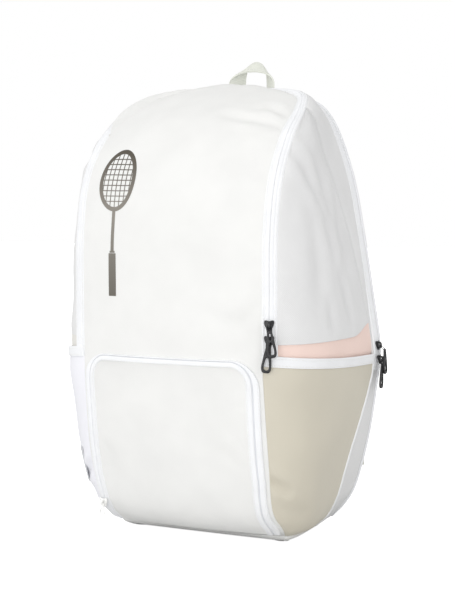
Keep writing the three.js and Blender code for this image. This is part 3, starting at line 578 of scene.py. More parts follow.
class Sheet:
    """A grid of points over surface(a, b) with its outward normals, and its place while it is shaped."""

    def __init__(self, surface, detail=3 * MM, roll=ROLL):
        self.size = grid_size(surface)
        self.roll = roll
        self.a = steps(self.size[0], detail, roll)
        self.b = steps(self.size[1], detail, roll)
        self.A, self.B = np.meshgrid(self.a, self.b, indexing="ij")
        self.base = surface(self.A, self.B)
        self.normals = outward(self.base)
        self.height = np.zeros(self.A.shape)

    @property
    def points(self):
        return self.base + self.normals * self.height[..., None]

    def edge(self):
        """The distance to the nearest edge."""
        across = np.minimum(self.A, 1 - self.A) * self.size[0]
        return np.minimum(across, np.minimum(self.B, 1 - self.B) * self.size[1])

    def lift(self, amount):
        self.height += amount
        return self

    def runs(self):
        """Each point's way along a and along b, in metres."""
        return self.A * self.size[0], self.B * self.size[1]

    def pucker(self, depth, pitch, reach, seed):
        """Small ripples along the sewn edges, where the thread draws the cloth in."""
        a, b = self.runs()
        edges = ((a, b), (self.size[0] - a, b), (b, a), (self.size[1] - b, a))
        for k, (away, run) in enumerate(edges):
            near = np.exp(-away / (reach * MM)) * (1 - np.exp(-away / (1.5 * MM)))
            self.height += depth * MM * ripple(run, pitch * MM, seed + k) * near
        return self

    def drape(self, depth, pitch, seed):
        """Broad, soft unevenness of filled cloth."""
        a, b = self.runs()
        random = np.random.default_rng(seed)
        total = 0 * a
        for _ in range(7):
            turn, phase = random.uniform(0, math.pi), random.uniform(0, 2 * math.pi)
            length = pitch * MM * random.uniform(0.5, 1.5)
            total += np.sin(2 * math.pi * (a * math.cos(turn) + b * math.sin(turn)) / length + phase)
        self.height += depth * MM * total / 3 * smooth(self.edge() / (14 * MM))
        return self

    def soften(self, where, rounds):
        """Rounds the surface across its width, as far as the weights in where say."""
        for _ in range(rounds):
            middle = (self.base[:, :-2] + self.base[:, 2:]) / 2
            self.base[:, 1:-1] += 0.5 * where[:, 1:-1, None] * (middle - self.base[:, 1:-1])
        self.normals = outward(self.base)

    def fold(self, *creases):
        """Presses creases in: each is start, end, width and depth in millimetres."""
        for start, end, width, depth in creases:
            start, end = MM * np.array(start, float), MM * np.array(end, float)
            line = end - start
            share = np.clip(((self.base - start) @ line) / (line @ line), 0, 1)
            away = np.linalg.norm(self.base - start - share[..., None] * line, axis=-1) / (width * MM)
            fade = np.sin(np.pi * np.clip(0.1 + 0.8 * share, 0, 1)) ** 0.7
            groove = -np.exp(-away**2) + 0.45 * np.exp(-((away - 1.9) ** 2))
            self.height += depth * MM * groove * fade * smooth(self.edge() / (4 * MM))
        return self

    def solid(self, name, material, thick=CLOTH, inside=None):
        """A closed mesh with rolled edges: the outer face on the points, the inner face behind it. The
        thickness is one number or one for each point."""
        near = np.clip(self.edge() / self.roll, 0, 1)
        sink = self.roll * (1 - np.sqrt(1 - (1 - near) ** 2))
        outer = self.points - self.normals * sink[..., None]
        deep = np.maximum(thick, self.roll + 0.3 * MM) + 0 * self.A
        inner = self.points - self.normals * deep[..., None]
        n, m = self.A.shape
        first = np.cross(outer[1, 0] - outer[0, 0], outer[1, 1] - outer[0, 0])
        faces = closed_grid(n, m, first @ self.normals[0, 0] < 0)
        kinds = np.zeros(len(faces), np.int32)
        one_side = (n - 1) * (m - 1)
        kinds[one_side:2 * one_side] = 1
        vertices = np.concatenate([outer.reshape(-1, 3), inner.reshape(-1, 3)])
        uv = np.tile(flat_uv(self.a * self.size[0], self.b * self.size[1]), (2, 1))
        return make_object(name, vertices, faces.tolist(), [material, inside or material], uv, kinds)

    def at(self, a, b):
        """Points and normals of the shaped sheet at places given by a and b."""
        i = np.clip(np.searchsorted(self.a, a) - 1, 0, len(self.a) - 2)
        j = np.clip(np.searchsorted(self.b, b) - 1, 0, len(self.b) - 2)
        f = ((a - self.a[i]) / (self.a[i + 1] - self.a[i]))[..., None]
        g = ((b - self.b[j]) / (self.b[j + 1] - self.b[j]))[..., None]

        def blend(values):
            low = values[i, j] * (1 - g) + values[i, j + 1] * g
            high = values[i + 1, j] * (1 - g) + values[i + 1, j + 1] * g
            return low * (1 - f) + high * f

        return blend(self.points), unit(blend(outward(self.points)))


def profile_strip(name, surface, profile, count, material, thick=1.2 * MM):
    """A tape over surface(a, b): profile is a list of (share across, height in millimetres)."""
    a = np.linspace(0, 1, count + 1)
    b = np.array([p[0] for p in profile], float)
    A, B = np.meshgrid(a, b, indexing="ij")
    base = surface(A, B)
    normals = outward(surface(A, np.linspace(0, 1, len(b))[None, :] + 0 * A))
    height = MM * np.array([p[1] for p in profile])[None, :, None]
    outer = base + normals * height
    floor = MM * min(p[1] for p in profile) - thick
    inner = base + normals * np.minimum(height - thick * 0.6, floor + thick * 0.3)
    sheet = Sheet.__new__(Sheet)
    sheet.size = grid_size(surface)
    sheet.a, sheet.b, sheet.A, sheet.B = a, b, A, B
    sheet.base, sheet.normals, sheet.height = outer, normals, np.zeros(A.shape)
    n, m = A.shape
    i, j = n // 2, m // 2
    middle = np.cross(outer[i + 1, j] - outer[i, j], outer[i + 1, j + 1] - outer[i, j])
    faces = closed_grid(n, m, middle @ normals[i, j] < 0)
    uv = np.tile(flat_uv(a * sheet.size[0], b * sheet.size[1]), (2, 1))
    vertices = np.concatenate([outer.reshape(-1, 3), inner.reshape(-1, 3)])
    return make_object(name, vertices, faces.tolist(), [material], uv, sharp=60), sheet


def stitch_row(points, normals, length=2.7, gap=1.1, radius=0.24):
    """Vertices and faces of one row of stitches along a line of points."""
    lengths = lengths_along(points)
    pitch = (length + gap) * MM
    places = np.arange(pitch / 2, lengths[-1] - pitch / 2, pitch)

    def along(values, at):
        return np.stack([np.interp(at, lengths, values[:, k]) for k in range(3)], -1)

    middle = along(points, places)
    tangent = unit(along(points, places + 0.4 * pitch) - along(points, places - 0.4 * pitch))
    up = unit(along(normals, places))
    side = unit(np.cross(up, tangent))
    vertices = []
    sides = 5
    for share, size, height in ((-0.5, 0.4, -0.5), (-0.3, 1.0, 0.35), (0.3, 1.0, 0.35), (0.5, 0.4, -0.5)):
        centre = middle + tangent * share * length * MM + up * height * radius * MM
        for k in range(sides):
            angle = 2 * math.pi * k / sides
            turn = side * math.cos(angle) * 1.2 + up * math.sin(angle)
            vertices.append(centre + turn * size * radius * MM)
    vertices = np.stack(vertices, 1).reshape(-1, 3)
    faces = []
    for ring in range(3):
        for k in range(sides):
            a, b = ring * sides + k, ring * sides + (k + 1) % sides
            faces.append((a, a + sides, b + sides, b))
    caps = [tuple(range(sides)), tuple(reversed(range(3 * sides, 4 * sides)))]
    size = 4 * sides
    every = [tuple(v + i * size for v in face) for i in range(len(places)) for face in faces + caps]
    return vertices, every


def stitching(name, rows, **sizes):
    """One piece holding several rows of stitches; each row is (points, normals)."""
    vertices, faces = joined([stitch_row(points, normals, **sizes) for points, normals in rows])
    piece = make_object(name, vertices, faces, [THREAD], sharp=80)
    fix_normals(piece)
    return piece


def line_on(sheet, a, b, lift=0.15):
    """A row for stitching() along a line of a sheet: a and b are arrays or numbers."""
    a, b = np.broadcast_arrays(np.asarray(a, float), np.asarray(b, float))
    points, normals = sheet.at(a, b)
    return points + normals * lift * MM, normals


def sweep(name, section, origins, across, up, material, cyclic=False):
    """A closed section of (across, up) pairs in metres, swept through frames."""
    section = np.asarray(section, float)
    count, k = len(origins), len(section)
    points = origins[:, None] + across[:, None] * section[None, :, :1] + up[:, None] * section[None, :, 1:]
    faces = []
    for i in range(count if cyclic else count - 1):
        start, after = i * k, (i + 1) % count * k
        for j in range(k):
            other = (j + 1) % k
            faces.append((start + j, start + other, after + other, after + j))
    if not cyclic:
        faces.append(tuple(reversed(range(k))))
        faces.append(tuple(range((count - 1) * k, count * k)))
    uv = flat_uv(lengths_along(origins), lengths_along(section))
    piece = make_object(name, points, faces, [material], uv)
    fix_normals(piece)
    return piece


def fix_normals(piece):
    mesh = bmesh.new()
    mesh.from_mesh(piece.data)
    bmesh.ops.recalc_face_normals(mesh, faces=mesh.faces)
    mesh.to_mesh(piece.data)
    mesh.free()


def rounded_box(width, height, corner, count=5):
    """A closed rounded rectangle as (x, y) pairs, centred."""
    pairs = []
    for sx, sy, turn in ((1, -1, -90), (1, 1, 0), (-1, 1, 90), (-1, -1, 180)):
        for k in range(count + 1):
            angle = math.radians(turn + 90 * k / count)
            x = sx * (width / 2 - corner) + corner * math.cos(angle)
            y = sy * (height / 2 - corner) + corner * math.sin(angle)
            pairs.append((x, y))
    return pairs


def plate(outlines, thick, bevel, resolution=3):
    """A flat plate with rounded edges from closed outlines (the first is the rim, the rest are holes)."""
    curve = bpy.data.curves.new("plate", "CURVE")
    curve.dimensions = "2D"
    curve.fill_mode = "BOTH"
    curve.extrude = thick / 2 - bevel
    curve.bevel_depth = bevel
    curve.bevel_resolution = resolution
    curve.offset = -bevel
    for outline in outlines:
        line = curve.splines.new("POLY")
        line.points.add(len(outline) - 1)
        for point, (x, y) in zip(line.points, outline):
            point.co = (x, y, 0, 1)
        line.use_cyclic_u = True
    holder = bpy.data.objects.new("plate", curve)
    bpy.context.scene.collection.objects.link(holder)
    depsgraph = bpy.context.evaluated_depsgraph_get()
    mesh = bpy.data.meshes.new_from_object(holder.evaluated_get(depsgraph))
    bpy.data.objects.remove(holder)
    work = bmesh.new()
    work.from_mesh(mesh)
    bmesh.ops.remove_doubles(work, verts=work.verts, dist=1e-6)
    bmesh.ops.recalc_face_normals(work, faces=work.faces)
    vertices = np.array([v.co[:] for v in work.verts])
    faces = [tuple(v.index for v in f.verts) for f in work.faces]
    work.free()
    bpy.data.meshes.remove(mesh)
    return vertices, faces


def joined(parts):
    """One list of faces, and one array of vertices, from several (vertices, faces)."""
    starts = np.cumsum([0] + [len(v) for v, _ in parts[:-1]]).tolist()
    faces = [tuple(k + start for k in face) for start, (_, f) in zip(starts, parts) for face in f]
    return np.concatenate([v for v, _ in parts]), faces


def join_parts(name, parts, material, place=None):
    """One object from several (vertices, faces), moved by a 4x4 matrix."""
    points, faces = joined(parts)
    if place is not None:
        points = points @ place[:3, :3].T + place[:3, 3]
    return make_object(name, points, faces, [material], points[:, [0, 2]], sharp=35)


def smooth_outline(points, rounds=3):
    """Chaikin's corner cutting on a closed outline."""
    points = np.asarray(points, float)
    for _ in range(rounds):
        after = np.roll(points, -1, axis=0)
        points = np.stack([0.75 * points + 0.25 * after, 0.25 * points + 0.75 * after], 1).reshape(-1, 2)
    return [tuple(p) for p in points]


def mirror(piece):
    """Turns a piece made for the right side into one for the left."""
    piece.data.transform(Matrix.Scale(-1, 4, (1, 0, 0)))
    piece.data.flip_normals()


def mirrored(piece, name):
    """A copy on the left side."""
    copy = piece.copy()
    copy.data = piece.data.copy()
    copy.name = name
    copy.data.name = name
    mirror(copy)
    bpy.context.scene.collection.objects.link(copy)
    return copy


# ---- Camera, light and floor -------------------------------------------------------------------

CAMERA = MM * Vector((738.7, -1418.6, 370))
TARGET = MM * Vector((12.7, 6.4, 255))
LENS = 85.37


def make_camera():
    camera = bpy.data.objects.new("camera", bpy.data.cameras.new("camera"))
    camera.data.lens = LENS
    camera.data.sensor_width = 36
    camera.location = CAMERA
    camera.rotation_mode = "QUATERNION"
    camera.rotation_quaternion = (TARGET - CAMERA).to_track_quat("-Z", "Y")
    bpy.context.scene.collection.objects.link(camera)
    bpy.context.scene.camera = camera


def area_light(name, place, aim, size, power):
    light = bpy.data.lights.new(name, "AREA")
    light.shape = "RECTANGLE"
    light.size, light.size_y = size
    light.energy = power
    lamp = bpy.data.objects.new(name, light)
    lamp.location = place
    lamp.rotation_mode = "QUATERNION"
    lamp.rotation_quaternion = (Vector(aim) - Vector(place)).to_track_quat("-Z", "Y")
    bpy.context.scene.collection.objects.link(lamp)


BRIGHT_SIDE = (-0.3, -0.93, 0.05)  # the direction that the soft light comes from


def make_studio():
    """White all round for the camera, and a soft light that falls off to the right and behind."""
    world = bpy.data.worlds.new("studio")
    bpy.context.scene.world = world
    world.use_nodes = True
    sky = Nodes(world.node_tree)
    inputs = {0: sky.place("Generated"), 1: BRIGHT_SIDE}
    toward = sky.add("VectorMath", inputs, operation="DOT_PRODUCT")
    level = sky.ranged(toward.outputs["Value"], -1.0, 1.0, 0.76, 1.12)
    seen = sky.add("LightPath").outputs["Is Camera Ray"]
    strength = sky.add("Mix", {"Factor": seen, "A": level, "B": 1.0}).outputs[0]
    background = world.node_tree.nodes["Background"]
    background.inputs["Color"].default_value = (1, 1, 1, 1)
    sky.put(background, "Strength", strength)
    area_light("key", (0.5, -2.4, 0.5), (0, 0, 0.26), (1.0, 1.0), 13)
    area_light("rim", (1.9, 0.4, 0.9), (0, 0, 0.3), (0.8, 1.4), 1)
    shader = Shader("floor_paper")
    grain = shader.noise(shader.place("Object"), 60, 3)
    glow = shader.math("MULTIPLY", shader.add("LightPath").outputs["Is Camera Ray"], 0.85)
    shader.set(Base_Color=shader.tint("#e2e2e2", grain, 0.995, 1.0), Roughness=0.9)
    shader.set(Emission_Color=(1, 1, 1, 1), Emission_Strength=glow)
    span = 9.0
    corners = [(-span, -span, 0), (span, -span, 0), (span, span, 0), (-span, span, 0)]
    floor = make_object("floor", corners, [(0, 1, 2, 3)], [shader.material])
    floor.location.z = -0.4 * MM
    bpy.context.scene.view_settings.view_transform = "Standard"


make_camera()
make_studio()

# ---- Front cloth and its print -----------------------------------------------------------------

FRONT_LOW, FRONT_HIGH = 0.05, 12.93
LIP = 13.5 * MM
PUFF = 2.5 * MM  # how far the filled cloth stands up round the top left corner


def beyond_seam(s, u):
    """How far a point of the front cloth lies past the seam: the cloth hangs over the zip round the
    top left corner."""
    half = seam(FRONT_SEAM, u)[..., 0]
    lip = LIP * smooth((u - 9) / 0.8) * (1 - smooth((u - 11.2) / 1.2)) * (s < 0)
    return np.abs(s) * (half + lip) - half


def front_surface(a, b):
    s, u = 2 * b - 1, mix(FRONT_LOW, FRONT_HIGH, a)
    over = beyond_seam(s, u)
    flat = front_point(np.sign(s) * np.minimum(1 + over / seam(FRONT_SEAM, u)[..., 0], 1), u, -0.4 * MM)
    lip = side_at(u, np.maximum(over, 0))
    lip[..., 0] *= np.sign(s)
    return np.where((over > 0.3 * MM)[..., None], lip, flat)


def from_seam(points):
    """The distance of points to the front seam."""
    line = seam(FRONT_SEAM, np.linspace(0, TOP, 260))
    line = np.concatenate([line, line * np.array([-1, 1, 1])])
    return np.stack([np.linalg.norm(row[:, None] - line[None], axis=-1).min(1) for row in points])


def make_front():
    """The front cloth: filled out above, and sunk behind the pocket below."""
    sheet = Sheet(front_surface)
    u = mix(FRONT_LOW, FRONT_HIGH, sheet.A)
    over = beyond_seam(2 * sheet.B - 1, u)
    away = from_seam(sheet.base)
    left = smooth((u - 9) / 1.2) * (1 - smooth((u - 11.4) / 1.2)) * smooth((0.35 - sheet.B) / 0.2)
    sheet.soften(left * np.exp(-((over / (9 * MM)) ** 2)), 8)
    sheet.lift(PUFF * left * np.exp(-away / (60 * MM)) + 2.7 * MM * smooth(over / (4 * MM)))
    sheet.lift(2.5 * MM * smooth((u - 10.5) / 1.5) * (1 - (2 * sheet.B - 1) ** 2))
    behind = smooth((u - 0.7) / 1.5) * (1 - smooth((u - 4.3) / 0.6))
    sheet.lift(-FRONT_PANEL_RECESS * behind * (1 - smooth((np.abs(2 * sheet.B - 1) - 0.8) / 0.12)))
    sheet.pucker(0.6, 13, 9, 11).drape(0.9, 95, 3)
    sheet.fold(
        ((36, -44, 462), (103, -44, 446), 7, 3.2),
        ((74, -12, 471), (100, -30, 456), 6, 2.6),
        ((58, -28, 468), (96, -14, 465), 8, 1.6),
        ((70, -110, 237), (106, -102, 262), 8, 1.4),
        ((42, -113, 256), (101, -103, 232), 9, 1.2),
    )
    thick = mix(2.6 * MM, 1.2 * MM, smooth(over / (3 * MM)))
    piece = sheet.solid("front_cloth", FINISH["white_fabric"], thick, FINISH["lining"])
    bend_over(piece, "flap", FLAP_ZONE, "white_fabric", "front_panel", "front_flap")
    return sheet


RACKET = {"x": -65, "foot": 268, "grip": 48, "shaft": 42, "head": 66, "width": 46, "rim": 4.6}


def print_bar(x0, x1, z0, z1, across=2, upright=2):
    """A rectangle of the print as a grid of (x, z) in millimetres and its quads."""
    points = flat_uv(np.linspace(x0, x1, across + 1), np.linspace(z0, z1, upright + 1))
    return points, grid_faces(across + 1, upright + 1)[0]


def print_ring(height, outer, inner):
    """An oval ring of the print: outer and inner are half its width and half its height."""
    count = 72
    angles = np.linspace(0, 2 * math.pi, count, endpoint=False)
    rims = [np.stack([r[0] * np.cos(angles), height + r[1] * np.sin(angles)], -1) for r in (outer, inner)]
    index = np.arange(count)
    after = (index + 1) % count
    quads = np.stack([index, after, after + count, index + count], -1)
    return np.concatenate(rims), quads


def make_print(sheet):
    """The racket: rim, strings, shaft and grip, laid on the front cloth as thin closed pieces."""
    middle = RACKET["foot"] + RACKET["grip"] + RACKET["shaft"] + RACKET["head"] / 2
    half = (RACKET["width"] / 2, RACKET["head"] / 2)
    hole = (half[0] - RACKET["rim"], half[1] - RACKET["rim"])
    shaft_foot = RACKET["foot"] + RACKET["grip"]
    parts = [
        print_ring(middle, half, hole),
        print_bar(-2, 2, shaft_foot, middle - hole[1] - 2, 2, 14),
        print_bar(-4.5, 4.5, RACKET["foot"], shaft_foot - 2.5, 3, 14),
        print_bar(-3.2, 3.2, shaft_foot - 2, shaft_foot + 0.01, 2, 1),
    ]
    pitch = 5.6
    for k in range(-3, 4):
        reach = hole[1] * math.sqrt(1 - (k * pitch / hole[0]) ** 2) + 0.4
        parts.append(print_bar(k * pitch - 0.45, k * pitch + 0.45, middle - reach, middle + reach, 1, 16))
    for k in range(-4, 5):
        reach = hole[0] * math.sqrt(1 - (k * pitch / hole[1]) ** 2) + 0.4
        parts.append(print_bar(-reach, reach, middle + k * pitch - 0.45, middle + k * pitch + 0.45, 12, 1))
    vertices, faces, start = [], [], 0
    for flat, quads in parts:
        s, u, _ = front_at((RACKET["x"] + flat[:, 0]) * MM, flat[:, 1] * MM)
        points, normals = sheet.at((u - FRONT_LOW) / (FRONT_HIGH - FRONT_LOW), (s + 1) / 2)
        count = len(flat)
        vertices += [points + normals * 0.28 * MM, points - normals * 0.2 * MM]
        edges = {}
        for quad in quads.tolist():
            faces.append(tuple(v + start for v in quad))
            faces.append(tuple(v + start + count for v in reversed(quad)))
            for a, b in zip(quad, quad[1:] + quad[:1]):
                edges[(a, b)] = edges.get((a, b), 0) + 1
        for a, b in edges:
            if (b, a) not in edges:
                faces.append((b + start, a + start, a + start + count, b + start + count))
        start += 2 * count
    piece = make_object("racket_emblem", np.concatenate(vertices), faces, [FINISH["print"]], sharp=40)
    fix_normals(piece)
    bend_over(piece, "flap", FLAP_ZONE, "print", "racket_print")


front_sheet = make_front()
make_print(front_sheet)

# ---- Front pocket ------------------------------------------------------------------------------


def pocket_row(z, inset):
    """Half the pocket's width at a height, drawn in by inset."""
    top = POCKET_TOP_Z - inset
    corner = POCKET_CORNER - inset
    reach = seam(FRONT_SEAM, height_at(lambda u: seam(FRONT_SEAM, u), z))[..., 0] - 3.5 * MM
    half = np.minimum(POCKET_HALF_WIDTH, reach) - inset
    into = np.clip(z - (top - corner), 0, corner)
    return np.where(into <= 0, half, half - corner + np.sqrt(np.maximum(corner**2 - into**2, 0)))


def pocket_face(side_inset, top_inset):
    """The pocket's face, whose edge is drawn in less over the top than at the sides."""
    angle = np.linspace(0, math.pi / 2, 60)
    reach = POCKET_CORNER - mix(side_inset, top_inset, smooth(angle / (math.pi / 2)))
    arc_x = POCKET_HALF_WIDTH - POCKET_CORNER + reach * np.cos(angle)
    arc_z = POCKET_TOP_Z - POCKET_CORNER + reach * np.sin(angle)

    def surface(a, b):
        z = mix(POCKET_FOOT_Z, arc_z[-1], 1 - (1 - a) ** 1.5)
        half = np.where(z <= arc_z[0], pocket_row(z, side_inset), np.interp(z, arc_z, arc_x))
        return front_at((2 * b - 1) * half, z)[2]
    return surface


def pocket_band(inset, width, top_inset, top_width):
    """A band that follows the pocket's outline up the right side, over its top and down the left."""
    r = POCKET_CORNER
    middle = POCKET_HALF_WIDTH - r
    straight = POCKET_TOP_Z - r - POCKET_FOOT_Z
    arc = r * math.pi / 2
    half = straight + arc + middle

    def surface(a, b):
        run = np.minimum(a, 1 - a) * 2 * half
        over = smooth((run - straight) / arc)
        draw = mix(inset, top_inset, over) + b * mix(width, top_width, over)
        side = np.where(a <= 0.5, 1, -1)
        angle = np.clip((run - straight) / r, 0, math.pi / 2)
        round_x = middle + (r - draw) * np.cos(angle)
        round_z = POCKET_TOP_Z - r + (r - draw) * np.sin(angle)
        low = run <= straight
        z = np.where(low, POCKET_FOOT_Z + run, round_z)
        flat = np.maximum(middle - (run - straight - arc), 0)
        x = np.where(low, pocket_row(z, draw), np.where(run <= straight + arc, round_x, flat))
        z = np.where(run > straight + arc, POCKET_TOP_Z - draw, z)
        return front_at(side * x, z)[2]
    return surface


# Bands sewn flat, with a small step at each edge: share across, and height in millimetres.
WELT_PROFILE = [
    (0, 2.4), (0.02, 3.7), (0.07, 4.25), (0.16, 4.45), (0.5, 4.55), (0.84, 4.45), (0.93, 4.2), (0.98, 3.7),
    (1, 2.9),
]
EDGE_PROFILE = [(p, h - 0.7) for p, h in WELT_PROFILE]
TOP_EDGE = 1.8 * MM  # what shows of the zip and its gusset over the pocket's top
TOP_WELT = 5.4 * MM


def make_front_pocket():
    sheet = Sheet(pocket_face(WELT_INSET + BAND_WIDTH - 2.4 * MM, TOP_EDGE + TOP_WELT - 2.2 * MM))
    sheet.lift(POCKET_LIFT).pucker(0.4, 12, 8, 21).drape(0.6, 75, 8)
    sheet.fold(
        ((74, -106, 131), (93, -99, 106), 6, 1.2),
        ((60, -105, 112), (90, -97, 92), 8, 0.7),
        ((-90, -100, 112), (-74, -99, 93), 6, 1.1),
        ((-86, -97, 88), (-62, -97, 70), 8, 0.7),
    )
    piece = sheet.solid("front_pocket_cloth", FINISH["white_fabric"], 2.2 * MM, FINISH["lining"])
    bend_over(piece, "pocket_door", POCKET_ZONE, "white_fabric", "front_pocket_panel", "front_pocket_foot")
    over = pocket_band(WELT_INSET, BAND_WIDTH - 0.2 * MM, TOP_EDGE, TOP_WELT)
    tape = FINISH["zip_tape"]
    welt, welt_sheet = profile_strip("front_pocket_binding", over, WELT_PROFILE, 260, tape, 1.6 * MM)
    bend_over(welt, "pocket_door", POCKET_ZONE, "zip_tape", "front_pocket_welt")
    rows = [line_on(welt_sheet, np.linspace(0.004, 0.996, 500), 0.8)]
    bend_over(stitching("front_pocket_stitches", rows), "pocket_door", POCKET_ZONE, "zip_tape")
    under = pocket_band(0, BAND_WIDTH - 0.1 * MM, 0, TOP_EDGE - 0.6 * MM)
    gusset, gusset_sheet = profile_strip("front_pocket_edge", under, EDGE_PROFILE, 260, tape, 2.4 * MM)
    settle(gusset, "bag", "zip_tape", "front_pocket_gusset")
    sides = ((0.004, 0.3), (0.7, 0.996))
    rows = [line_on(gusset_sheet, np.linspace(start, end, 170), 0.2) for start, end in sides]
    settle(stitching("front_pocket_edge_stitches", rows), "bag", "zip_tape")
    coil = [(0, 1.4), (0.25, 2.9), (0.5, 3.2), (0.75, 2.9), (1, 1.4)]
    between = pocket_band(BAND_WIDTH - 0.6 * MM, 2.2 * MM, TOP_EDGE - 0.9 * MM, 1.2 * MM)
    line, _ = profile_strip("front_pocket_coil", between, coil, 260, COIL, MM)
    settle(line, "bag", "zip_tape")


make_front_pocket()

# ---- Sides -------------------------------------------------------------------------------------


def band(low, high, start, end):
    """The side between two heights, and between two distances that are functions of u."""
    def surface(a, b):
        u = mix(low, high, a)
        return side_at(u, mix(start(u), end(u), b))
    return surface


def mouth(b):
    """The height of the side pocket's mouth: lower at the back, and sagging a little between."""
    return mix(MOUTH_TOP[0], MOUTH_TOP[1], b) - 0.03 * np.sin(math.pi * b)


def side_foot(b):
    """The side panel's lower edge, which rises at the back."""
    return SIDE_PANEL_FOOT + 0.17 * smooth((b - 0.7) / 0.3)


HIGH_U = np.linspace(8.5, 11.5, 301)
SIDE_TIP = float(np.interp(-(TAPE_EDGE + 1.2 * MM), -upper_seam(HIGH_U), HIGH_U))


def side_surface(a, b):
    """The side panel, which runs out to a narrow tip beside the front zip."""
    u = mix(side_foot(b), SIDE_TIP, a)
    return side_at(u, mix(TAPE_EDGE + SEAM, upper_seam(u) - SEAM, b))


def pair(piece, body, slot, stem=None):
    """Settles a right-hand piece for the CAD node STEM_right and makes its mirror for STEM_left, each on
    its own body where the body's name says right."""
    copy = mirrored(piece, piece.name.replace("_right", "_left"))
    for made, side in ((piece, "_right"), (copy, "_left")):
        settle(made, body.replace("_right", side), slot, *([stem + side] if stem else []))
    return copy


def valley(u, away, reach):
    """How far the cloth lies in at the seam between the side panel and the strip behind it."""
    return 2.2 * MM * np.exp(-away / reach) * smooth((u - 4.7) / 0.7) * (1 - smooth((u - 8.8) / 1.2))


STRIP_FOOT = 4.42
GREY_CLOTH = (FINISH["grey_fabric"], 2.2 * MM, FINISH["lining"])


def make_sides():
    sheet = Sheet(side_surface)
    u = mix(side_foot(sheet.B), SIDE_TIP, sheet.A)
    sheet.lift(-valley(u, (1 - sheet.B) * (upper_seam(u) - TAPE_EDGE), 11 * MM))
    sheet.pucker(0.5, 12, 8, 31).drape(1.5, 85, 12)
    sheet.fold(
        ((121, -62, 421), (140, -28, 369), 8, 3.6),
        ((140, -28, 369), (146, -8, 318), 9, 3.0),
        ((130, -20, 400), (145, 5, 335), 11, 3.2),
        ((140, 20, 372), (150, 30, 300), 12, 2.8),
        ((141, -45, 345), (149, -46, 270), 12, 2.4),
        ((151, 5, 285), (155, 22, 240), 8, 2.4),
        ((150, -30, 262), (154, -22, 232), 7, 2.0),
    )
    pair(sheet.solid("side_cloth_right", *GREY_CLOTH), "bag", "grey_fabric", "side_panel")

    def over_top(a, b):
        def distance(u):
            return mix(np.maximum(upper_seam(u), TAPE_EDGE) + SEAM, side_length(u) - TAPE_EDGE - SEAM, b)

        return both_sides(mix(STRIP_FOOT, 2 * TOP - STRIP_FOOT, a), distance)

    strip = Sheet(over_top)
    s = mix(STRIP_FOOT, 2 * TOP - STRIP_FOOT, strip.A)
    u = np.minimum(s, 2 * TOP - s)
    strip.lift(-valley(u, strip.B * (side_length(u) - TAPE_EDGE - upper_seam(u)), 5 * MM))
    strip.pucker(0.35, 12, 7, 41).drape(0.4, 60, 14)
    settle(strip.solid("rear_strip", *GREY_CLOTH), "bag", "grey_fabric", "top_gusset")

    foot, head = 0.06, 4.6  # the head lies under the end of the main zip
    corner = Sheet(band(foot, head, lambda u: lower_seam(u) + SEAM, from_rear(0.4 * MM)))
    corner.pucker(0.35, 12, 7, 51).drape(0.5, 60, 15)
    corner.lift(-0.8 * MM * smooth((mix(foot, head, corner.A) - 4.38) / 0.06))
    pair(corner.solid("rear_corner_cloth_right", *GREY_CLOTH), "bag", "grey_fabric", "rear_corner")


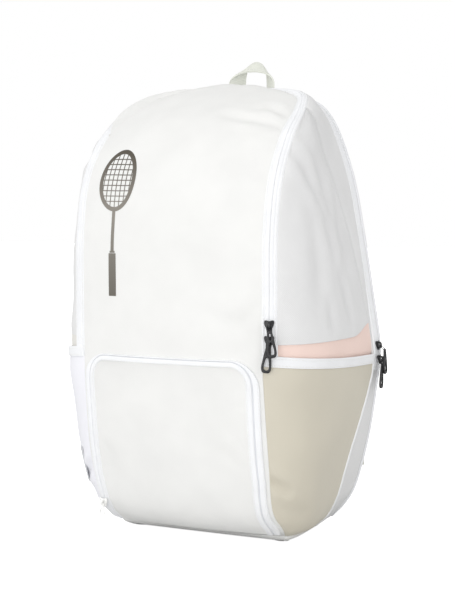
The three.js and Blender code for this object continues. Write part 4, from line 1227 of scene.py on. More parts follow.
def make_side_pocket(side, puff, recess, slot, lining_slot):
    """One side pocket: puff is how far its mouth stands out, recess how deep its lining lies there."""
    def between(foot, head):
        """The pocket's surface between two heights, each a function of the share across."""
        def surface(a, b):
            u = mix(foot(b), head(b), a)
            return side_at(u, mix(0.3 * MM, lower_seam(u) - SEAM, b))
        return surface

    def hem_foot(b):
        return mouth(b) - MOUTH_BAND

    def puffed(sheet):
        """How far the mouth stands out, all along the sheet's width."""
        return puff * np.sin(np.pi * sheet.B) ** 0.5

    def put(piece, slot, *nodes):
        if side == "left":
            mirror(piece)
        settle(piece, "bag", slot, *nodes)

    sheet = Sheet(between(constant(POCKET_FOOT - 0.06), hem_foot))
    sheet.lift(puffed(sheet) * smooth((sheet.A - 0.72) / 0.28))
    sheet.pucker(0.4, 14, 7, 61).drape(1.0, 95, 17)
    sheet.fold(
        ((103, -89, 86), (122, -71, 66), 5, 4.6),
        ((112, -70, 50), (126, -40, 40), 9, 2.4),
        ((118, -76, 196), (121, -70, 120), 9, 1.8),
    )
    piece = sheet.solid("side_pocket_cloth_" + side, FINISH[slot], 1.8 * MM, FINISH["lining"])
    put(piece, slot, "side_pocket_" + side)

    hem = Sheet(between(hem_foot, mouth), 2 * MM)
    hem.lift(1.5 * MM + puffed(hem))
    piece = hem.solid("side_pocket_hem_" + side, FINISH["zip_tape"], 2.6 * MM)
    put(piece, "zip_tape", "side_pocket_band_" + side)
    run = np.linspace(0.02, 0.98, 200)
    rows = [line_on(hem, 0.2, run), line_on(hem, 0.8, run)]
    put(stitching("side_pocket_hem_stitches_" + side, rows), "zip_tape")

    foot, head = POCKET_FOOT + 0.1, POCKET_WALL_TOP + 0.1
    lining = Sheet(band(foot, head, constant(TAPE_EDGE - 3 * MM), lambda u: lower_seam(u) + 2 * MM))
    u = mix(foot, head, lining.A)
    tall = smooth((u - 0.4) / 1.4) * (1 - smooth((u - 4.2) / 0.75))
    lining.lift(-mix(WALL_INSET, recess, smooth((u - 4.6) / 0.5)))
    lining.lift(-POCKET_DEPTH * tall * np.sin(np.pi * lining.B) ** 0.6).drape(0.3, 40, 19)
    piece = lining.solid("side_pocket_lining_" + side, FINISH[lining_slot], 1.4 * MM)
    put(piece, lining_slot, "side_pocket_wall_" + side)

    tape = band(0.1, 4.86, lambda u: lower_seam(u) - 2.2 * MM, lambda u: lower_seam(u) + 1.6 * MM)
    profile = [(0, 0.0), (0.06, 0.9), (0.25, 1.25), (0.75, 1.25), (0.94, 0.9), (1, 0.0)]
    name = "side_pocket_binding_" + side
    put(profile_strip(name, tape, profile, 120, FINISH["zip_tape"], 1.4 * MM)[0], "zip_tape")


def make_patch():
    patch = Sheet(band(2.25, 2.95, constant(17 * MM), constant(47 * MM)), 3 * MM, 0.5 * MM)
    patch.lift(1.5 * MM)
    piece = patch.solid("side_patch_cloth", FINISH["reflective_grey"], 1.2 * MM)
    mirror(piece)
    settle(piece, "bag", "reflective_grey", "side_patch")


make_sides()
make_side_pocket("right", 0.5 * MM, 2.3 * MM, "beige_coated", "pink_lining")
make_side_pocket("left", 3 * MM, 0.5 * MM, "white_coated", "lining")
make_patch()

# ---- Zips --------------------------------------------------------------------------------------

# A half tape from its sewn edge to its coil: share across, and height in millimetres.
TAPE_PROFILE = [
    (0, -1), (0.12, -0.1), (0.16, 0.25), (0.2, 0.42), (0.46, 0.5), (0.51, 0.2), (0.56, 0.6), (0.66, 0.88),
    (0.88, 0.95), (0.95, 0.8), (0.985, 0.5), (1, 0.2),
]
ZIP_COUNT = 420
ZIP_GAP = 0.05 * MM
TAPE_HIDDEN = 1.2 * MM  # how much of a tape lies under the cloth it is sewn to


def zip_half(stem, foot, from_distance, to_distance):
    """Half a zip up the right side, over the top and down the left, and the stitches along it."""
    def surface(a, b):
        return both_sides(mix(foot, 2 * TOP - foot, a), lambda u: mix(from_distance(u), to_distance(u), b))

    piece, sheet = profile_strip(stem + "_half", surface, TAPE_PROFILE, ZIP_COUNT, FINISH["zip_tape"])
    run = np.linspace(0.003, 0.997, 900)
    return piece, stitching(stem + "_stitches", [line_on(sheet, run, 0.29, 0.12)])


def make_zips():
    sewn, coil = TAPE_EDGE + TAPE_HIDDEN, TAPE_HALF + ZIP_GAP
    foot_tapes = ("front_zip_foot_tape_right", "front_zip_foot_tape_left")
    edges = (constant(-TAPE_HIDDEN), constant(TAPE_HALF - ZIP_GAP))
    piece, stitches = zip_half("front_zip_flap", ZIP_FOOT, *edges)
    bend_over(piece, "flap", FLAP_ZONE, "zip_tape", "front_zip_flap_tape", *foot_tapes)
    bend_over(stitches, "flap", FLAP_ZONE, "zip_tape")
    for stem, foot, start, end in (
        ("front_zip_body", ZIP_FOOT, constant(sewn), constant(coil)),
        ("main_zip_shell", MAIN_ZIP_END, from_rear(sewn), from_rear(coil)),
        ("main_zip_back", MAIN_ZIP_END, from_rear(-0.4 * MM), from_rear(TAPE_HALF - ZIP_GAP)),
    ):
        piece, stitches = zip_half(stem, foot, start, end)
        settle(piece, "bag", "zip_tape", stem + "_tape")
        settle(stitches, "bag", "zip_tape")


make_zips()

# ---- Sliders and pulls -------------------------------------------------------------------------

SLIDER = {"width": 10.5, "length": 10.5, "plate": 1.6, "ride": 1.5, "bail_width": 2.6, "bail_height": 3.8}
PULL = {"width": 10.5, "length": 33, "thick": 2.0, "bar": 1.1, "crank": 4.8}
LEAN = 6  # degrees by which one pull of a pair hangs off to its side
FRONT_SLIDER_Z = (243, 227)
MAIN_SLIDER_Z = (207, 191)


def frame_matrix(origin, across, up, out):
    place = np.eye(4)
    place[:3, 0], place[:3, 1], place[:3, 2], place[:3, 3] = across, up, out, origin
    return place


def zip_frame(distance, z, reach):
    """Where a slider sits: its origin, across, up along the zip and out, as in the CAD part."""
    def at(u, offset=0.0):
        return side_at(u, distance(u) + offset)

    u = height_at(at, z * MM)
    origin = at(u)
    up = unit(at(height_at(at, (z + reach) * MM)) - origin)
    across = at(u, MM) - at(u, -MM)
    across = unit(across - up * (across @ up))
    return origin, across, up, np.cross(across, up)


BAR_LIFT = (SLIDER["ride"] + SLIDER["plate"] + SLIDER["bail_height"] / 2) * MM


def both_ways(half):
    """A closed outline from its right half, given from its foot to its head or the other way."""
    return half + [(-x, y) for x, y in reversed(half)]


def slider_parts():
    """A slider's body: a shield-shaped plate and the bail over it."""
    w, length = SLIDER["width"] / 2 * MM, SLIDER["length"] / 2 * MM
    half = [
        (0.5, -1), (0.62, -0.6), (0.82, -0.15), (1, 0.35), (0.98, 0.8), (0.75, 1), (0.3, 0.86), (0, 0.78),
    ]
    half = [(x * w, y * length) for x, y in half]
    outline = half + [(-x, y) for x, y in reversed(half[:-1])]
    v, f = plate([smooth_outline(outline, 2)], SLIDER["plate"] * MM, 0.5 * MM)
    v[:, 2] += (SLIDER["ride"] + SLIDER["plate"] / 2) * MM
    v[:, 2] -= 0.7 * MM * (np.abs(v[:, 0]) / w) ** 3
    high = SLIDER["bail_height"] * MM
    reach = length * 0.74
    arch = [(-1, 0), (-0.92, 0.75), (-0.6, 1), (0.6, 1), (0.92, 0.75), (1, 0)]
    arch += [(0.62, 0), (0.45, 0.62), (-0.45, 0.62), (-0.62, 0)]
    arch = [(x * reach, y * high) for x, y in arch]
    bail, bail_faces = plate([smooth_outline(arch, 2)], SLIDER["bail_width"] * MM, 0.35 * MM)
    bail = bail[:, [2, 0, 1]]
    bail[:, 2] += (SLIDER["ride"] + SLIDER["plate"] - 0.4) * MM
    return [(v, f), (bail, bail_faces)]


def pull_parts(crank, length):
    """A moulded pull: an eye round the bail, a neck with a slit, and a long drop-shaped loop."""
    k = length / PULL["length"]
    w = PULL["width"] / 2 * MM * (0.5 + 0.5 * k)
    half = [
        (2.8, 0.5), (3.1, -1.5), (3.0, -4.6), (2.7, -7.0), (3.1, -10), (3.9, -15), (4.7, -21), (5.25, -26),
        (5.1, -29.5), (3.9, -32.2), (1.5, -33),
    ]
    half = [(x / 5.25 * w if x > 3.2 else x * MM, y * k * MM) for x, y in half]
    window = [(1.9, -0.55 / k), (1.9, -4.6)]
    slit = [(0.5, -8), (0.8, -9), (0.9, -13.5), (0.4, -14.5)]
    drop = [(0.7, -17), (1.6, -19.5), (2.6, -24.5), (2.7, -28), (1.5, -30)]
    rims = [smooth_outline(both_ways(half))]
    for hole in (window, slit, drop):
        rims.append(smooth_outline(both_ways([(x * MM, y * k * MM) for x, y in hole]), 2))
    v, f = plate(rims, PULL["thick"] * MM, 0.6 * MM)
    thin = mix(PULL["bar"] / PULL["thick"], 1.0, smooth((-v[:, 1] - 4 * MM) / (3 * MM)))
    v[:, 2] *= thin
    v[:, 2] += crank * MM * smooth((-v[:, 1] - PULL["bar"] * MM) / (4.4 * MM))
    return [(v, f)]


def add_slider(stem, body, place, slot, crank, lean, length=PULL["length"]):
    """A slider at a place, and its pull, which hangs plumb but for its lean."""
    origin, across, _, out = place
    piece = join_parts(stem + "_slider_body", slider_parts(), FINISH[slot], frame_matrix(*place))
    settle(piece, body + "_slider", slot, stem + "_slider")
    level = unit(np.array([across[0], across[1], 0.0]))
    angle = math.radians(lean)
    vertical = math.cos(angle) * np.array([0, 0, 1.0]) - math.sin(angle) * level
    level = math.cos(angle) * level + math.sin(angle) * np.array([0, 0, 1.0])
    hung = frame_matrix(origin + out * BAR_LIFT, level, vertical, np.cross(level, vertical))
    tab = join_parts(stem + "_pull_tab", pull_parts(crank, length), FINISH[slot], hung)
    settle(tab, body + "_pull", slot, stem + "_pull")


def make_sliders():
    for zone, distance, heights, reach in (
        ("front", constant(TAPE_HALF), FRONT_SLIDER_Z, 80),
        ("main", from_rear(TAPE_HALF), MAIN_SLIDER_Z, 40),
    ):
        upper = zip_frame(distance, heights[0], reach)
        origin, across, up, out = upper
        lower = (origin - up * (heights[0] - heights[1]) * MM, across, up, out)
        add_slider(zone + "_zip_upper", zone + "_upper", upper, "black_plastic", PULL["crank"], LEAN)
        add_slider(zone + "_zip_lower", zone + "_lower", lower, "black_plastic", 0, -LEAN)
    heights = np.array([40, 84]) * MM
    low, high = front_at(-pocket_row(heights, BAND_WIDTH + 0.5 * MM), heights)[2]
    up = unit(high - low)
    across = np.array([1, -0.12, 0])
    across = unit(across - up * (across @ up))
    out = np.cross(across, up)
    add_slider("pocket_zip", "pocket", (low + out * 6.2 * MM, across, up, out), "pale_metal", 0, 0, 13)


make_sliders()

# ---- Base --------------------------------------------------------------------------------------

# The base from its rim to its flat underside: inset and height in millimetres.
BASE_PROFILE = [
    (2.4, 12), (1.2, 10.4), (0.9, 8.8), (1.4, 7.2), (2.8, 5.6), (5, 4.1), (9, 2.4), (14, 1), (19, 0.2), (22, 0),
]


def make_base():
    """The base: a shallow dish, flat underneath, whose rim meets the feet of the panels."""
    right = side_point(0.05, np.linspace(0, 1, 49))
    front = front_point(np.linspace(-1, 1, 41)[1:-1], 0.05)
    back = back_point(np.linspace(1, -1, 41)[1:-1], 0.05, 0.4 * MM)
    outline = np.concatenate([front, right, back, (right * np.array([-1, 1, 1]))[::-1]])
    outline[:, 2] = 0
    for _ in range(6):
        outline = (np.roll(outline, 1, 0) + 2 * outline + np.roll(outline, -1, 0)) / 4
    along = np.roll(outline, -2, 0) - np.roll(outline, 2, 0)
    inward = unit(np.cross([0, 0, 1.0], along))
    rows = [outline + inward * inset * MM + np.array([0, 0, z]) * MM for inset, z in BASE_PROFILE]
    centre = rows[-1].mean(0)
    rows += [centre + (rows[-1] - centre) * share for share in (0.75, 0.5, 0.25)]
    count = len(outline)
    under = np.concatenate(rows + [centre[None]])
    over = under + np.array([0, 0, 2.4 * MM])
    faces = []
    for i in range(len(rows) - 1):
        for j in range(count):
            k = (j + 1) % count
            faces.append((i * count + j, i * count + k, (i + 1) * count + k, (i + 1) * count + j))
    last = (len(rows) - 1) * count
    faces += [(last + j, last + (j + 1) % count, len(under) - 1) for j in range(count)]
    faces += [tuple(v + len(under) for v in reversed(face)) for face in faces]
    faces += [(j, (j + 1) % count, len(under) + (j + 1) % count, len(under) + j) for j in range(count)]
    vertices = np.concatenate([under, over])
    piece = make_object("base_cloth", vertices, faces, [FINISH["white_fabric"]], vertices[:, :2], sharp=60)
    fix_normals(piece)
    settle(piece, "bag", "white_fabric", "base_panel")


make_base()

# ---- Back and carrying system ------------------------------------------------------------------


SIDEWAYS = np.array([1.0, 0, 0])
REARWARD = np.array([0, 1.0, 0])


def centripetal(points, t):
    """A centripetal Catmull-Rom curve through points, at t from 0 to 1."""
    points = np.asarray(points, float)
    last = len(points) - 1
    padded = np.concatenate([[2 * points[0] - points[1]], points, [2 * points[-1] - points[-2]]])
    place = np.clip(np.asarray(t, float) * last, 0, last - 1e-9)
    i = place.astype(int)
    f = (place - i)[:, None]
    p = [padded[i + k] for k in range(4)]
    d = [np.sqrt(np.linalg.norm(p[k + 1] - p[k], axis=1))[:, None] for k in range(3)]
    t1 = ((p[1] - p[0]) / d[0] - (p[2] - p[0]) / (d[0] + d[1]) + (p[2] - p[1]) / d[1]) * d[1]
    t2 = ((p[2] - p[1]) / d[1] - (p[3] - p[1]) / (d[1] + d[2]) + (p[3] - p[2]) / d[2]) * d[1]
    a = 2 * p[1] - 2 * p[2] + t1 + t2
    b = -3 * p[1] + 3 * p[2] - 2 * t1 - t2
    return a * f**3 + b * f**2 + t1 * f + p[1]


def frames_on(path, count):
    """Points along a path with three directions at each: across, up and along."""
    t = np.linspace(0, 1, count)
    origins = centripetal(path, t)
    tangent = unit(centripetal(path, np.clip(t + 1e-3, 0, 1)) - centripetal(path, np.clip(t - 1e-3, 0, 1)))
    across = unit(SIDEWAYS - tangent * (tangent @ SIDEWAYS)[:, None])
    return origins, across, np.cross(tangent, across), tangent


def make_back():
    sheet = Sheet(lambda a, b: back_point(2 * b - 1, mix(0.12, 12.93, a) + 0 * b, MM), 4 * MM)
    sheet.pucker(0.4, 13, 9, 71)
    piece = sheet.solid("back_cloth", FINISH["white_fabric"], 2.6 * MM, FINISH["lining"])
    settle(piece, "bag", "white_fabric", "back_panel")
    s = np.linspace(0.1, 2 * TOP - 0.1, 300)
    u = np.where(s <= TOP, s, 2 * TOP - s)
    side = np.where(s <= TOP, 1, -1)
    out = away_from(BACK_SEAM, u)
    origins = seam(BACK_SEAM, u) + out * 0.2 * MM
    origins[:, 1] += 1.9 * MM
    origins[:, 0] *= side
    out[:, 0] *= side
    angles = np.arange(10) * math.pi / 5
    section = 1.8 * MM * np.stack([np.cos(angles), np.sin(angles)], -1)
    cord = sweep("back_piping", section, origins, out, REARWARD + 0 * out, FINISH["zip_tape"])
    settle(cord, "bag", "zip_tape", "back_binding")


make_back()

# ---- Pads and straps ---------------------------------------------------------------------------

CUSHION_CAP = 6 * MM  # how far a cushion's face may be blown out


def cushion(name, middle, up, half, materials, clamp):
    """A padded form: two faces over a grid of middle points, half apart on either side and joined round
    the rim. The rim is sewn fast and the faces are blown up as cloth under pressure."""
    n, m = half.shape
    one_side = (n - 1) * (m - 1)
    ring = grid_faces(n, m)[1]
    faces = closed_grid(n, m, False)
    vertices = np.concatenate([(middle + sign * up * half[..., None]).reshape(-1, 3) for sign in (1, -1)])
    uv = flat_uv(lengths_along(middle[:, m // 2]), lengths_along(middle[n // 2]))
    kinds = np.repeat([0, len(materials) - 1, 0], [one_side, one_side, len(ring)]).astype(np.int32)
    piece = make_object(name, vertices, faces.tolist(), materials, np.tile(uv, (2, 1)), kinds, sharp=80)
    fix_normals(piece)
    sewn = piece.vertex_groups.new(name="sewn")
    sewn.add(np.concatenate([ring, ring + n * m]).tolist(), 1.0, "REPLACE")
    cloth = piece.modifiers.new("fill", "CLOTH")
    cloth.settings.use_pressure = True
    cloth.settings.uniform_pressure_force = 5
    cloth.settings.effector_weights.gravity = 0
    cloth.settings.shrink_min = -0.05
    cloth.settings.vertex_group_mass = "sewn"
    cloth.settings.quality = 6
    cloth.point_cache.frame_end = 20
    for number in range(1, 21):
        bpy.context.scene.frame_set(number)
    bake(piece)
    bpy.context.scene.frame_set(1)
    blown = np.array([v.co[:] for v in piece.data.vertices])
    move = blown - vertices
    size = np.linalg.norm(move, axis=1, keepdims=True)
    held = clamp(vertices + move * np.minimum(1, CUSHION_CAP / np.maximum(size, 1e-9)))
    piece.data.vertices.foreach_set("co", held.ravel())
    finer = piece.modifiers.new("finer", "SUBSURF")
    finer.levels = 1
    bake(piece)
    piece.data.polygons.foreach_set("use_smooth", [True] * len(piece.data.polygons))
    return piece


def bake(piece):
    """Applies a piece's modifiers to its mesh."""
    depsgraph = bpy.context.evaluated_depsgraph_get()
    old = piece.data
    baked = bpy.data.meshes.new_from_object(piece.evaluated_get(depsgraph))
    baked.name = piece.name
    piece.modifiers.clear()
    piece.data = baked
    bpy.data.meshes.remove(old)


def reshape(piece, change):
    """Moves a mesh's points by change(points, normals)."""
    points = np.array([v.co[:] for v in piece.data.vertices])
    normals = np.array([v.normal[:] for v in piece.data.vertices])
    piece.data.vertices.foreach_set("co", change(points, normals).ravel())
    piece.data.update()


def row_on(piece, points, direction):
    """A row for stitching(): points dropped along a direction on to a mesh."""
    tree = BVHTree.FromObject(piece, bpy.context.evaluated_depsgraph_get())
    direction = Vector(direction)
    found, normals = [], []
    for point in points:
        place, normal, _, _ = tree.ray_cast(Vector(point) - direction * 0.06, direction, 0.12)
        if place is not None:
            normal = normal if normal.dot(direction) < 0 else -normal
            found.append(np.array(place + normal * 0.15 * MM))
            normals.append(np.array(normal))
    return np.array(found), np.array(normals)


def rounded_outline(x, z, width, height, corner):
    """A rounded rectangle standing on z with its middle at x, in metres from millimetres."""
    pairs = rounded_box(width * MM, height * MM, corner * MM, 8)
    return [(px + x * MM, pz + (z + height / 2) * MM) for px, pz in pairs]


def inset_line(outline, inset):
    """A closed outline drawn in, as an (n, 2) array with an even step."""
    points = np.array(outline + outline[:1])
    lengths = lengths_along(points)
    even = np.linspace(0, lengths[-1], 240, endpoint=False)
    ring = np.stack([np.interp(even, lengths, points[:, k]) for k in (0, 1)], -1)
    along = unit(np.roll(ring, -1, 0) - np.roll(ring, 1, 0))
    inward = np.stack([-along[:, 1], along[:, 0]], -1)
    if np.sum(inward * (ring.mean(0) - ring)) < 0:
        inward = -inward
    return ring + inward * inset


CHANNELS = np.array([190, 262, 334]) * MM


def pad_grid(x, z, width, height, corner):
    """Rows of points over a rounded rectangle standing on z, as (x, z) in metres, and how far each is from
    the edge, in millimetres."""
    angles = np.linspace(0, math.pi / 2, 7)
    low = corner * (1 - np.cos(angles))
    straight = np.linspace(corner, height - corner, int((height - 2 * corner) / 5) + 2)[1:-1]
    rows = np.concatenate([low, straight, height - low[::-1]])
    into = np.maximum(corner - np.minimum(rows, height - rows), 0)
    half = width / 2 - corner + np.sqrt(np.maximum(corner**2 - into**2, 0))
    across = np.linspace(-1, 1, int(width / 5) + 1)
    flat = np.stack([x + half[:, None] * across, z + rows[:, None] + 0 * across], -1) * MM
    edge = np.minimum(half[:, None] * (1 - np.abs(across)), np.minimum(rows, height - rows)[:, None])
    return flat, edge


def make_pad(name, place, channels):
    """A mesh pad with piping round it and stitched channels across it, and the pieces of both."""
    x, z, width, height, corner = place
    outline = rounded_outline(*place)
    flat, edge = pad_grid(x, z + 1.4, width - 2.8, height - 2.8, corner - 1.4)
    half = (1.5 + 2.3 * smooth(edge / 9)) * MM
    middle = np.stack([flat[..., 0], PAD_Y + 0.3 * MM + half, flat[..., 1]], -1)
    low, high = PAD_Y, PAD_Y + PAD_THICK + 1.5 * MM
    x0, z0 = np.min(outline, axis=0)
    x1, z1 = np.max(outline, axis=0)

    def clamp(points):
        return np.clip(points, (x0, low, z0), (x1, high, z1))

    pad = cushion(name, middle, REARWARD + 0 * middle, half, [FINISH["air_mesh"]], clamp)

    def sew(points, normals):
        near = np.zeros(len(points))
        for z in channels:
            near = np.maximum(near, np.exp(-(((points[:, 2] - z) / (3.2 * MM)) ** 2)))
        front = smooth(normals[:, 1] / 0.5)
        points[:, 1] -= near * front * 4 * MM
        points[:, 1] = np.maximum(points[:, 1], low)
        return points

    reshape(pad, sew)
    rim = inset_line(outline, 0.8 * MM)
    origins = np.stack([rim[:, 0], np.full(len(rim), PAD_Y + 2.2 * MM), rim[:, 1]], -1)
    along = unit(np.roll(origins, -1, 0) - np.roll(origins, 1, 0))
    across = np.cross(along, REARWARD)
    section = rounded_box(3.4 * MM, 4.2 * MM, 1.5 * MM, 3)
    up = REARWARD + 0 * across
    cord = sweep(name + "_piping", section, origins, across, up, FINISH["zip_tape"], cyclic=True)
    x = np.linspace(x0 + 5 * MM, x1 - 5 * MM, 60)
    rows = [row_on(pad, [(px, 0.13, z) for px in x], (0, -1, 0)) for z in channels]
    stitches = stitching(name + "_channel_stitches", rows) if channels.size else None
    return pad, cord, stitches


def make_pads():
    pad, cord, stitches = make_pad("back_cushion_right", (55, 118, 86, 296, 24), CHANNELS)
    other = pair(pad, "bag", "air_mesh", "back_pad")
    pair(cord, "bag", "zip_tape")
    pair(stitches, "bag", "air_mesh")
    pad, cord, _ = make_pad("lumbar_cushion", (0, 46, 190, 62, 22), np.zeros(0))
    settle(pad, "bag", "air_mesh", "lumbar_pad")
    settle(cord, "bag", "zip_tape")


def sewn_plate(name, outline, y, rows):
    """A white tab standing in the XZ plane with its front face at y, and the stitches on its back."""
    thick = 2.2 * MM
    v, f = plate([outline], thick, 0.9 * MM)
    v = np.stack([v[:, 0], y + thick / 2 - v[:, 2], v[:, 1]], -1)
    piece = join_parts(name, [(v, f)], FINISH["white_fabric"])
    fix_normals(piece)
    lines = []
    for row in rows:
        points = np.stack([row[:, 0], np.full(len(row), y + thick + 0.1 * MM), row[:, 1]], -1)
        lines.append((points, REARWARD + 0 * points))
    return piece, stitching(name + "_stitches", lines)


def boxed_cross(corners):
    """Rows of stitches round four corners, given in millimetres, and across them both ways."""
    pairs = [(corners[k], corners[(k + 1) % 4]) for k in range(4)] + [corners[0::2], corners[1::2]]
    return [np.linspace(start, end, 40) * MM for start, end in np.array(pairs, float)]


def make_yoke():
    outline = rounded_outline(0, 424, 150, 46, 12)
    rows = [inset_line(outline, 3 * MM), inset_line(outline, 5.4 * MM)]
    for side in (-1, 1):
        x = 40 * side
        rows += boxed_cross([(x - 19, 429), (x + 19, 429), (x + 19, 437), (x - 19, 437)])
    yoke, stitches = sewn_plate("yoke_cloth", outline, PAD_Y, rows)
    settle(yoke, "bag", "white_fabric", "strap_yoke")
    settle(stitches, "bag", "white_fabric")


NECK_PATH = MM * np.array([
    [40, 108.6, 437], [40, 112, 446], [40.5, 118, 448.5], [43, 131, 441.5], [47, 141, 430],
])


def strap_frames(count):
    """Frames along the middle of the right strap, and its width at each."""
    t = np.linspace(0, 1, count)
    origins, across, up, tangent = frames_on(STRAP_PATH, count)
    width = np.interp(t, np.linspace(0, 1, len(STRAP_WIDTH)), STRAP_WIDTH)
    return origins, across, up, tangent, width


def make_straps():
    origins, across, up, tangent, width = strap_frames(61)
    outside = 1 if up[30, 1] > 0 else -1
    aside = np.linspace(-1, 1, 15)
    middle = origins[:, None] + across[:, None] * (aside * (width[:, None] / 2 - 1.2 * MM))[..., None]
    edge = (1 - np.abs(aside)) * width[:, None] / 2
    ends = np.minimum(np.arange(61), np.arange(61)[::-1])[:, None] * 4 * MM
    half = (1.6 + 1.8 * smooth(np.minimum(edge, ends) / (9 * MM))) * MM
    facing = outside * up[:, None] + 0 * middle

    def nearest(points):
        return np.argmin(np.linalg.norm(points[:, None] - origins[None], axis=2), axis=1)

    def clamp(points):
        k = nearest(points)
        away = points - origins[k]
        aside = np.clip(np.sum(away * across[k], axis=1), -width[k] / 2, width[k] / 2)
        high = np.clip(np.sum(away * up[k], axis=1), -6.5 * MM, 6.5 * MM)
        on = np.sum(away * tangent[k], axis=1)
        return origins[k] + aside[:, None] * across[k] + high[:, None] * up[k] + on[:, None] * tangent[k]

    two_tone = [FINISH["white_fabric"], FINISH["air_mesh"]]
    strap = cushion("strap_cushion_right", middle, facing, half, two_tone, clamp)

    def sew(points, normals):
        """A groove along the stitch line, near both edges."""
        k = nearest(points)
        aside = np.abs(np.sum((points - origins[k]) * across[k], axis=1))
        groove = np.exp(-(((aside - width[k] / 2 + 8 * MM) / (2.4 * MM)) ** 2))
        return points - normals * (groove * 1.2 * MM)[:, None]

    reshape(strap, sew)
    other = pair(strap, "strap_right", "white_fabric", "shoulder_strap")

    rows = []
    section = rounded_box(4.2 * MM, 6.4 * MM, 1.9 * MM, 4)
    for side, where in ((-1, "in"), (1, "out")):
        edge = origins + across * (side * (width / 2 - 0.6 * MM))[:, None]
        cord = sweep("strap_binding_" + where + "_right", section, edge, across, up, FINISH["zip_tape"])
        pair(cord, "strap_right", "zip_tape")
        line = origins + across * (side * (width / 2 - 8 * MM))[:, None]
        for face in (-1, 1):
            points, normals = [], []
            for n in range(1, len(line) - 1):
                p, q = row_on(strap, [line[n]], -face * up[n])
                points += list(p)
                normals += list(q)
            rows.append((np.array(points), np.array(normals)))
    pair(stitching("strap_stitches_right", rows), "strap_right", "white_fabric")

    section = rounded_box(38 * MM, 3.6 * MM, 1.5 * MM, 4)
    o, a, n, _ = frames_on(NECK_PATH, 30)
    neck = sweep("strap_neck_right", section, o, a, n, FINISH["white_fabric"])
    copy = mirrored(neck, "strap_neck_left")
    for piece, body in ((neck, "strap_right"), (copy, "strap_left")):
        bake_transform(piece)


LOCK = {"width": 33, "height": 27, "thick": 3.6, "window": 26.4}


def make_locks():
    """The adjusters at the straps' lower ends, and the webbing from each to its anchor."""
    origins, aside, above, _, _ = strap_frames(61)
    across = aside[-1]
    up = np.cross(across, above[-1])
    up = -up if up[2] < 0 else up
    origin = origins[-1] - up * 2 * MM
    out = np.cross(across, up)
    place = frame_matrix(origin, across, up, out)
    h = LOCK["height"] * MM

    def window(middle, height):
        return [(x, y + middle) for x, y in rounded_box(LOCK["window"] * MM, height, 1.2 * MM, 4)]

    rim = [(x, y - h / 2) for x, y in rounded_box(LOCK["width"] * MM, h, 4 * MM, 6)]
    first = window(-0.46 * h + 3.5 * MM, 7 * MM)
    second = window(-h + 7.6 * MM, 7.2 * MM)
    parts = [plate([rim, first, second], LOCK["thick"] * MM, 0.9 * MM)]
    for k in range(5):
        rib, faces = plate([rounded_box(1.0 * MM, 2.6 * MM, 0.45 * MM, 3)], 0.8 * MM, 0.25 * MM, 2)
        rib[:, 0] += (k - 2) * 4.6 * MM
        rib[:, 1] -= 2.6 * MM
        rib[:, 2] += LOCK["thick"] / 2 * MM
        parts.append((rib, faces))
    lock = join_parts("adjuster_right", parts, FINISH["black_plastic"], place)
    pair(lock, "adjuster_right", "black_plastic", "strap_adjuster")

    top = origin - up * h * 0.68 - out * 3.6 * MM * np.sign(out[1])
    end = np.array([ANCHOR[0], ANCHOR[1] + 2.2 * MM, ANCHOR[2] + 8 * MM])
    path = [top, top - up * 16 * MM, MM * np.array([117, 116, 140]), MM * np.array([122, 111, 96]), end]
    o, a, n, _ = frames_on(path, 60)
    web = sweep("webbing_right", rounded_box(WEB_WIDTH, WEB_THICK, 0.7 * MM, 4), o, a, n, FINISH["webbing"])
    pair(web, "strap_right", "webbing", "strap_webbing")
    o, a, n = o[1:-1], a[1:-1] * (WEB_WIDTH / 2 - 2 * MM), n[1:-1]
    rows = []
    for side in (-1, 1):
        rows += [(o + a * side + n * face * (WEB_THICK / 2 + 0.1 * MM), n * face) for face in (-1, 1)]
    pair(stitching("webbing_stitches_right", rows), "strap_right", "webbing")


TAB = [(-22, -18), (4, -8), (13, 26), (-14, 26), (-30, 2)]


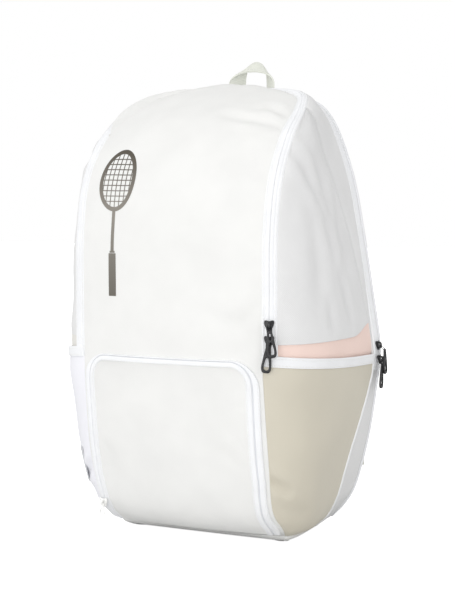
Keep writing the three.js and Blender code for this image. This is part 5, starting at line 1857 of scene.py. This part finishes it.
def make_anchors():
    outline = smooth_outline([(ANCHOR[0] + x * MM, ANCHOR[2] + z * MM) for x, z in TAB])
    box = [(ANCHOR[0] / MM + x, ANCHOR[2] / MM + z) for x, z in ((-10, 4), (9, 4), (9, 22), (-10, 22))]
    rows = [inset_line(outline, 2.6 * MM)] + boxed_cross(box)
    tab, stitches = sewn_plate("anchor_cloth_right", outline, ANCHOR[1] - 3 * MM, rows)
    pair(tab, "bag", "white_fabric", "strap_anchor")
    pair(stitches, "bag", "white_fabric")


LOOP_ZONE = (497 * MM, 508 * MM)
LOOP_LEG = 0.09  # the share of the ribbon's length in each leg below the joint
LOOP_DEEP = 9 * MM


def make_loop():
    def surface(a, b):
        t = np.clip((a - LOOP_LEG) / (1 - 2 * LOOP_LEG), 0, 1)
        below = np.maximum(np.maximum(LOOP_LEG - a, a - 1 + LOOP_LEG), 0) / LOOP_LEG * LOOP_DEEP
        span = mix(HANDLE["front_span"], HANDLE["rear_span"], b) * MM
        rise = mix(HANDLE["front_rise"], HANDLE["rear_rise"], b) * MM
        x = -span * np.cos(math.pi * t)
        y = (HANDLE["y"] + (b - 0.5) * HANDLE["width"]) * MM
        z = HANDLE["foot"] * MM + rise * np.sin(math.pi * t) ** 0.75 - below
        return np.stack([x, y, z], -1)

    sheet = Sheet(surface, 1.6 * MM, 0.5 * MM)
    sheet.lift(0.9 * MM)
    ribbon = sheet.solid("loop_ribbon", FINISH["webbing"], 1.8 * MM)
    bend_over(ribbon, "loop", LOOP_ZONE, "webbing", "hang_loop")
    run = np.linspace(0.04, 0.96, 120)
    rows = [line_on(sheet, run, 0.16), line_on(sheet, run, 0.84)]
    stitches = stitching("loop_stitches", rows, length=2.0, gap=0.9, radius=0.2)
    bend_over(stitches, "loop", LOOP_ZONE, "webbing")


make_pads()
make_yoke()
make_straps()
make_locks()
make_anchors()
make_loop()

# ---- Boards and sheets inside ------------------------------------------------------------------

for node, slot in (
    ("base_board", "stiffener"),
    ("back_stiffener", "stiffener"),
    ("compartment_divider", "lining"),
    ("laptop_sleeve", "lining"),
):
    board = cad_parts[node]
    board.data.materials.clear()
    board.data.materials.append(FINISH[slot])
    round_edge = board.modifiers.new("edge", "BEVEL")
    round_edge.width = 1.0 * MM
    round_edge.segments = 2
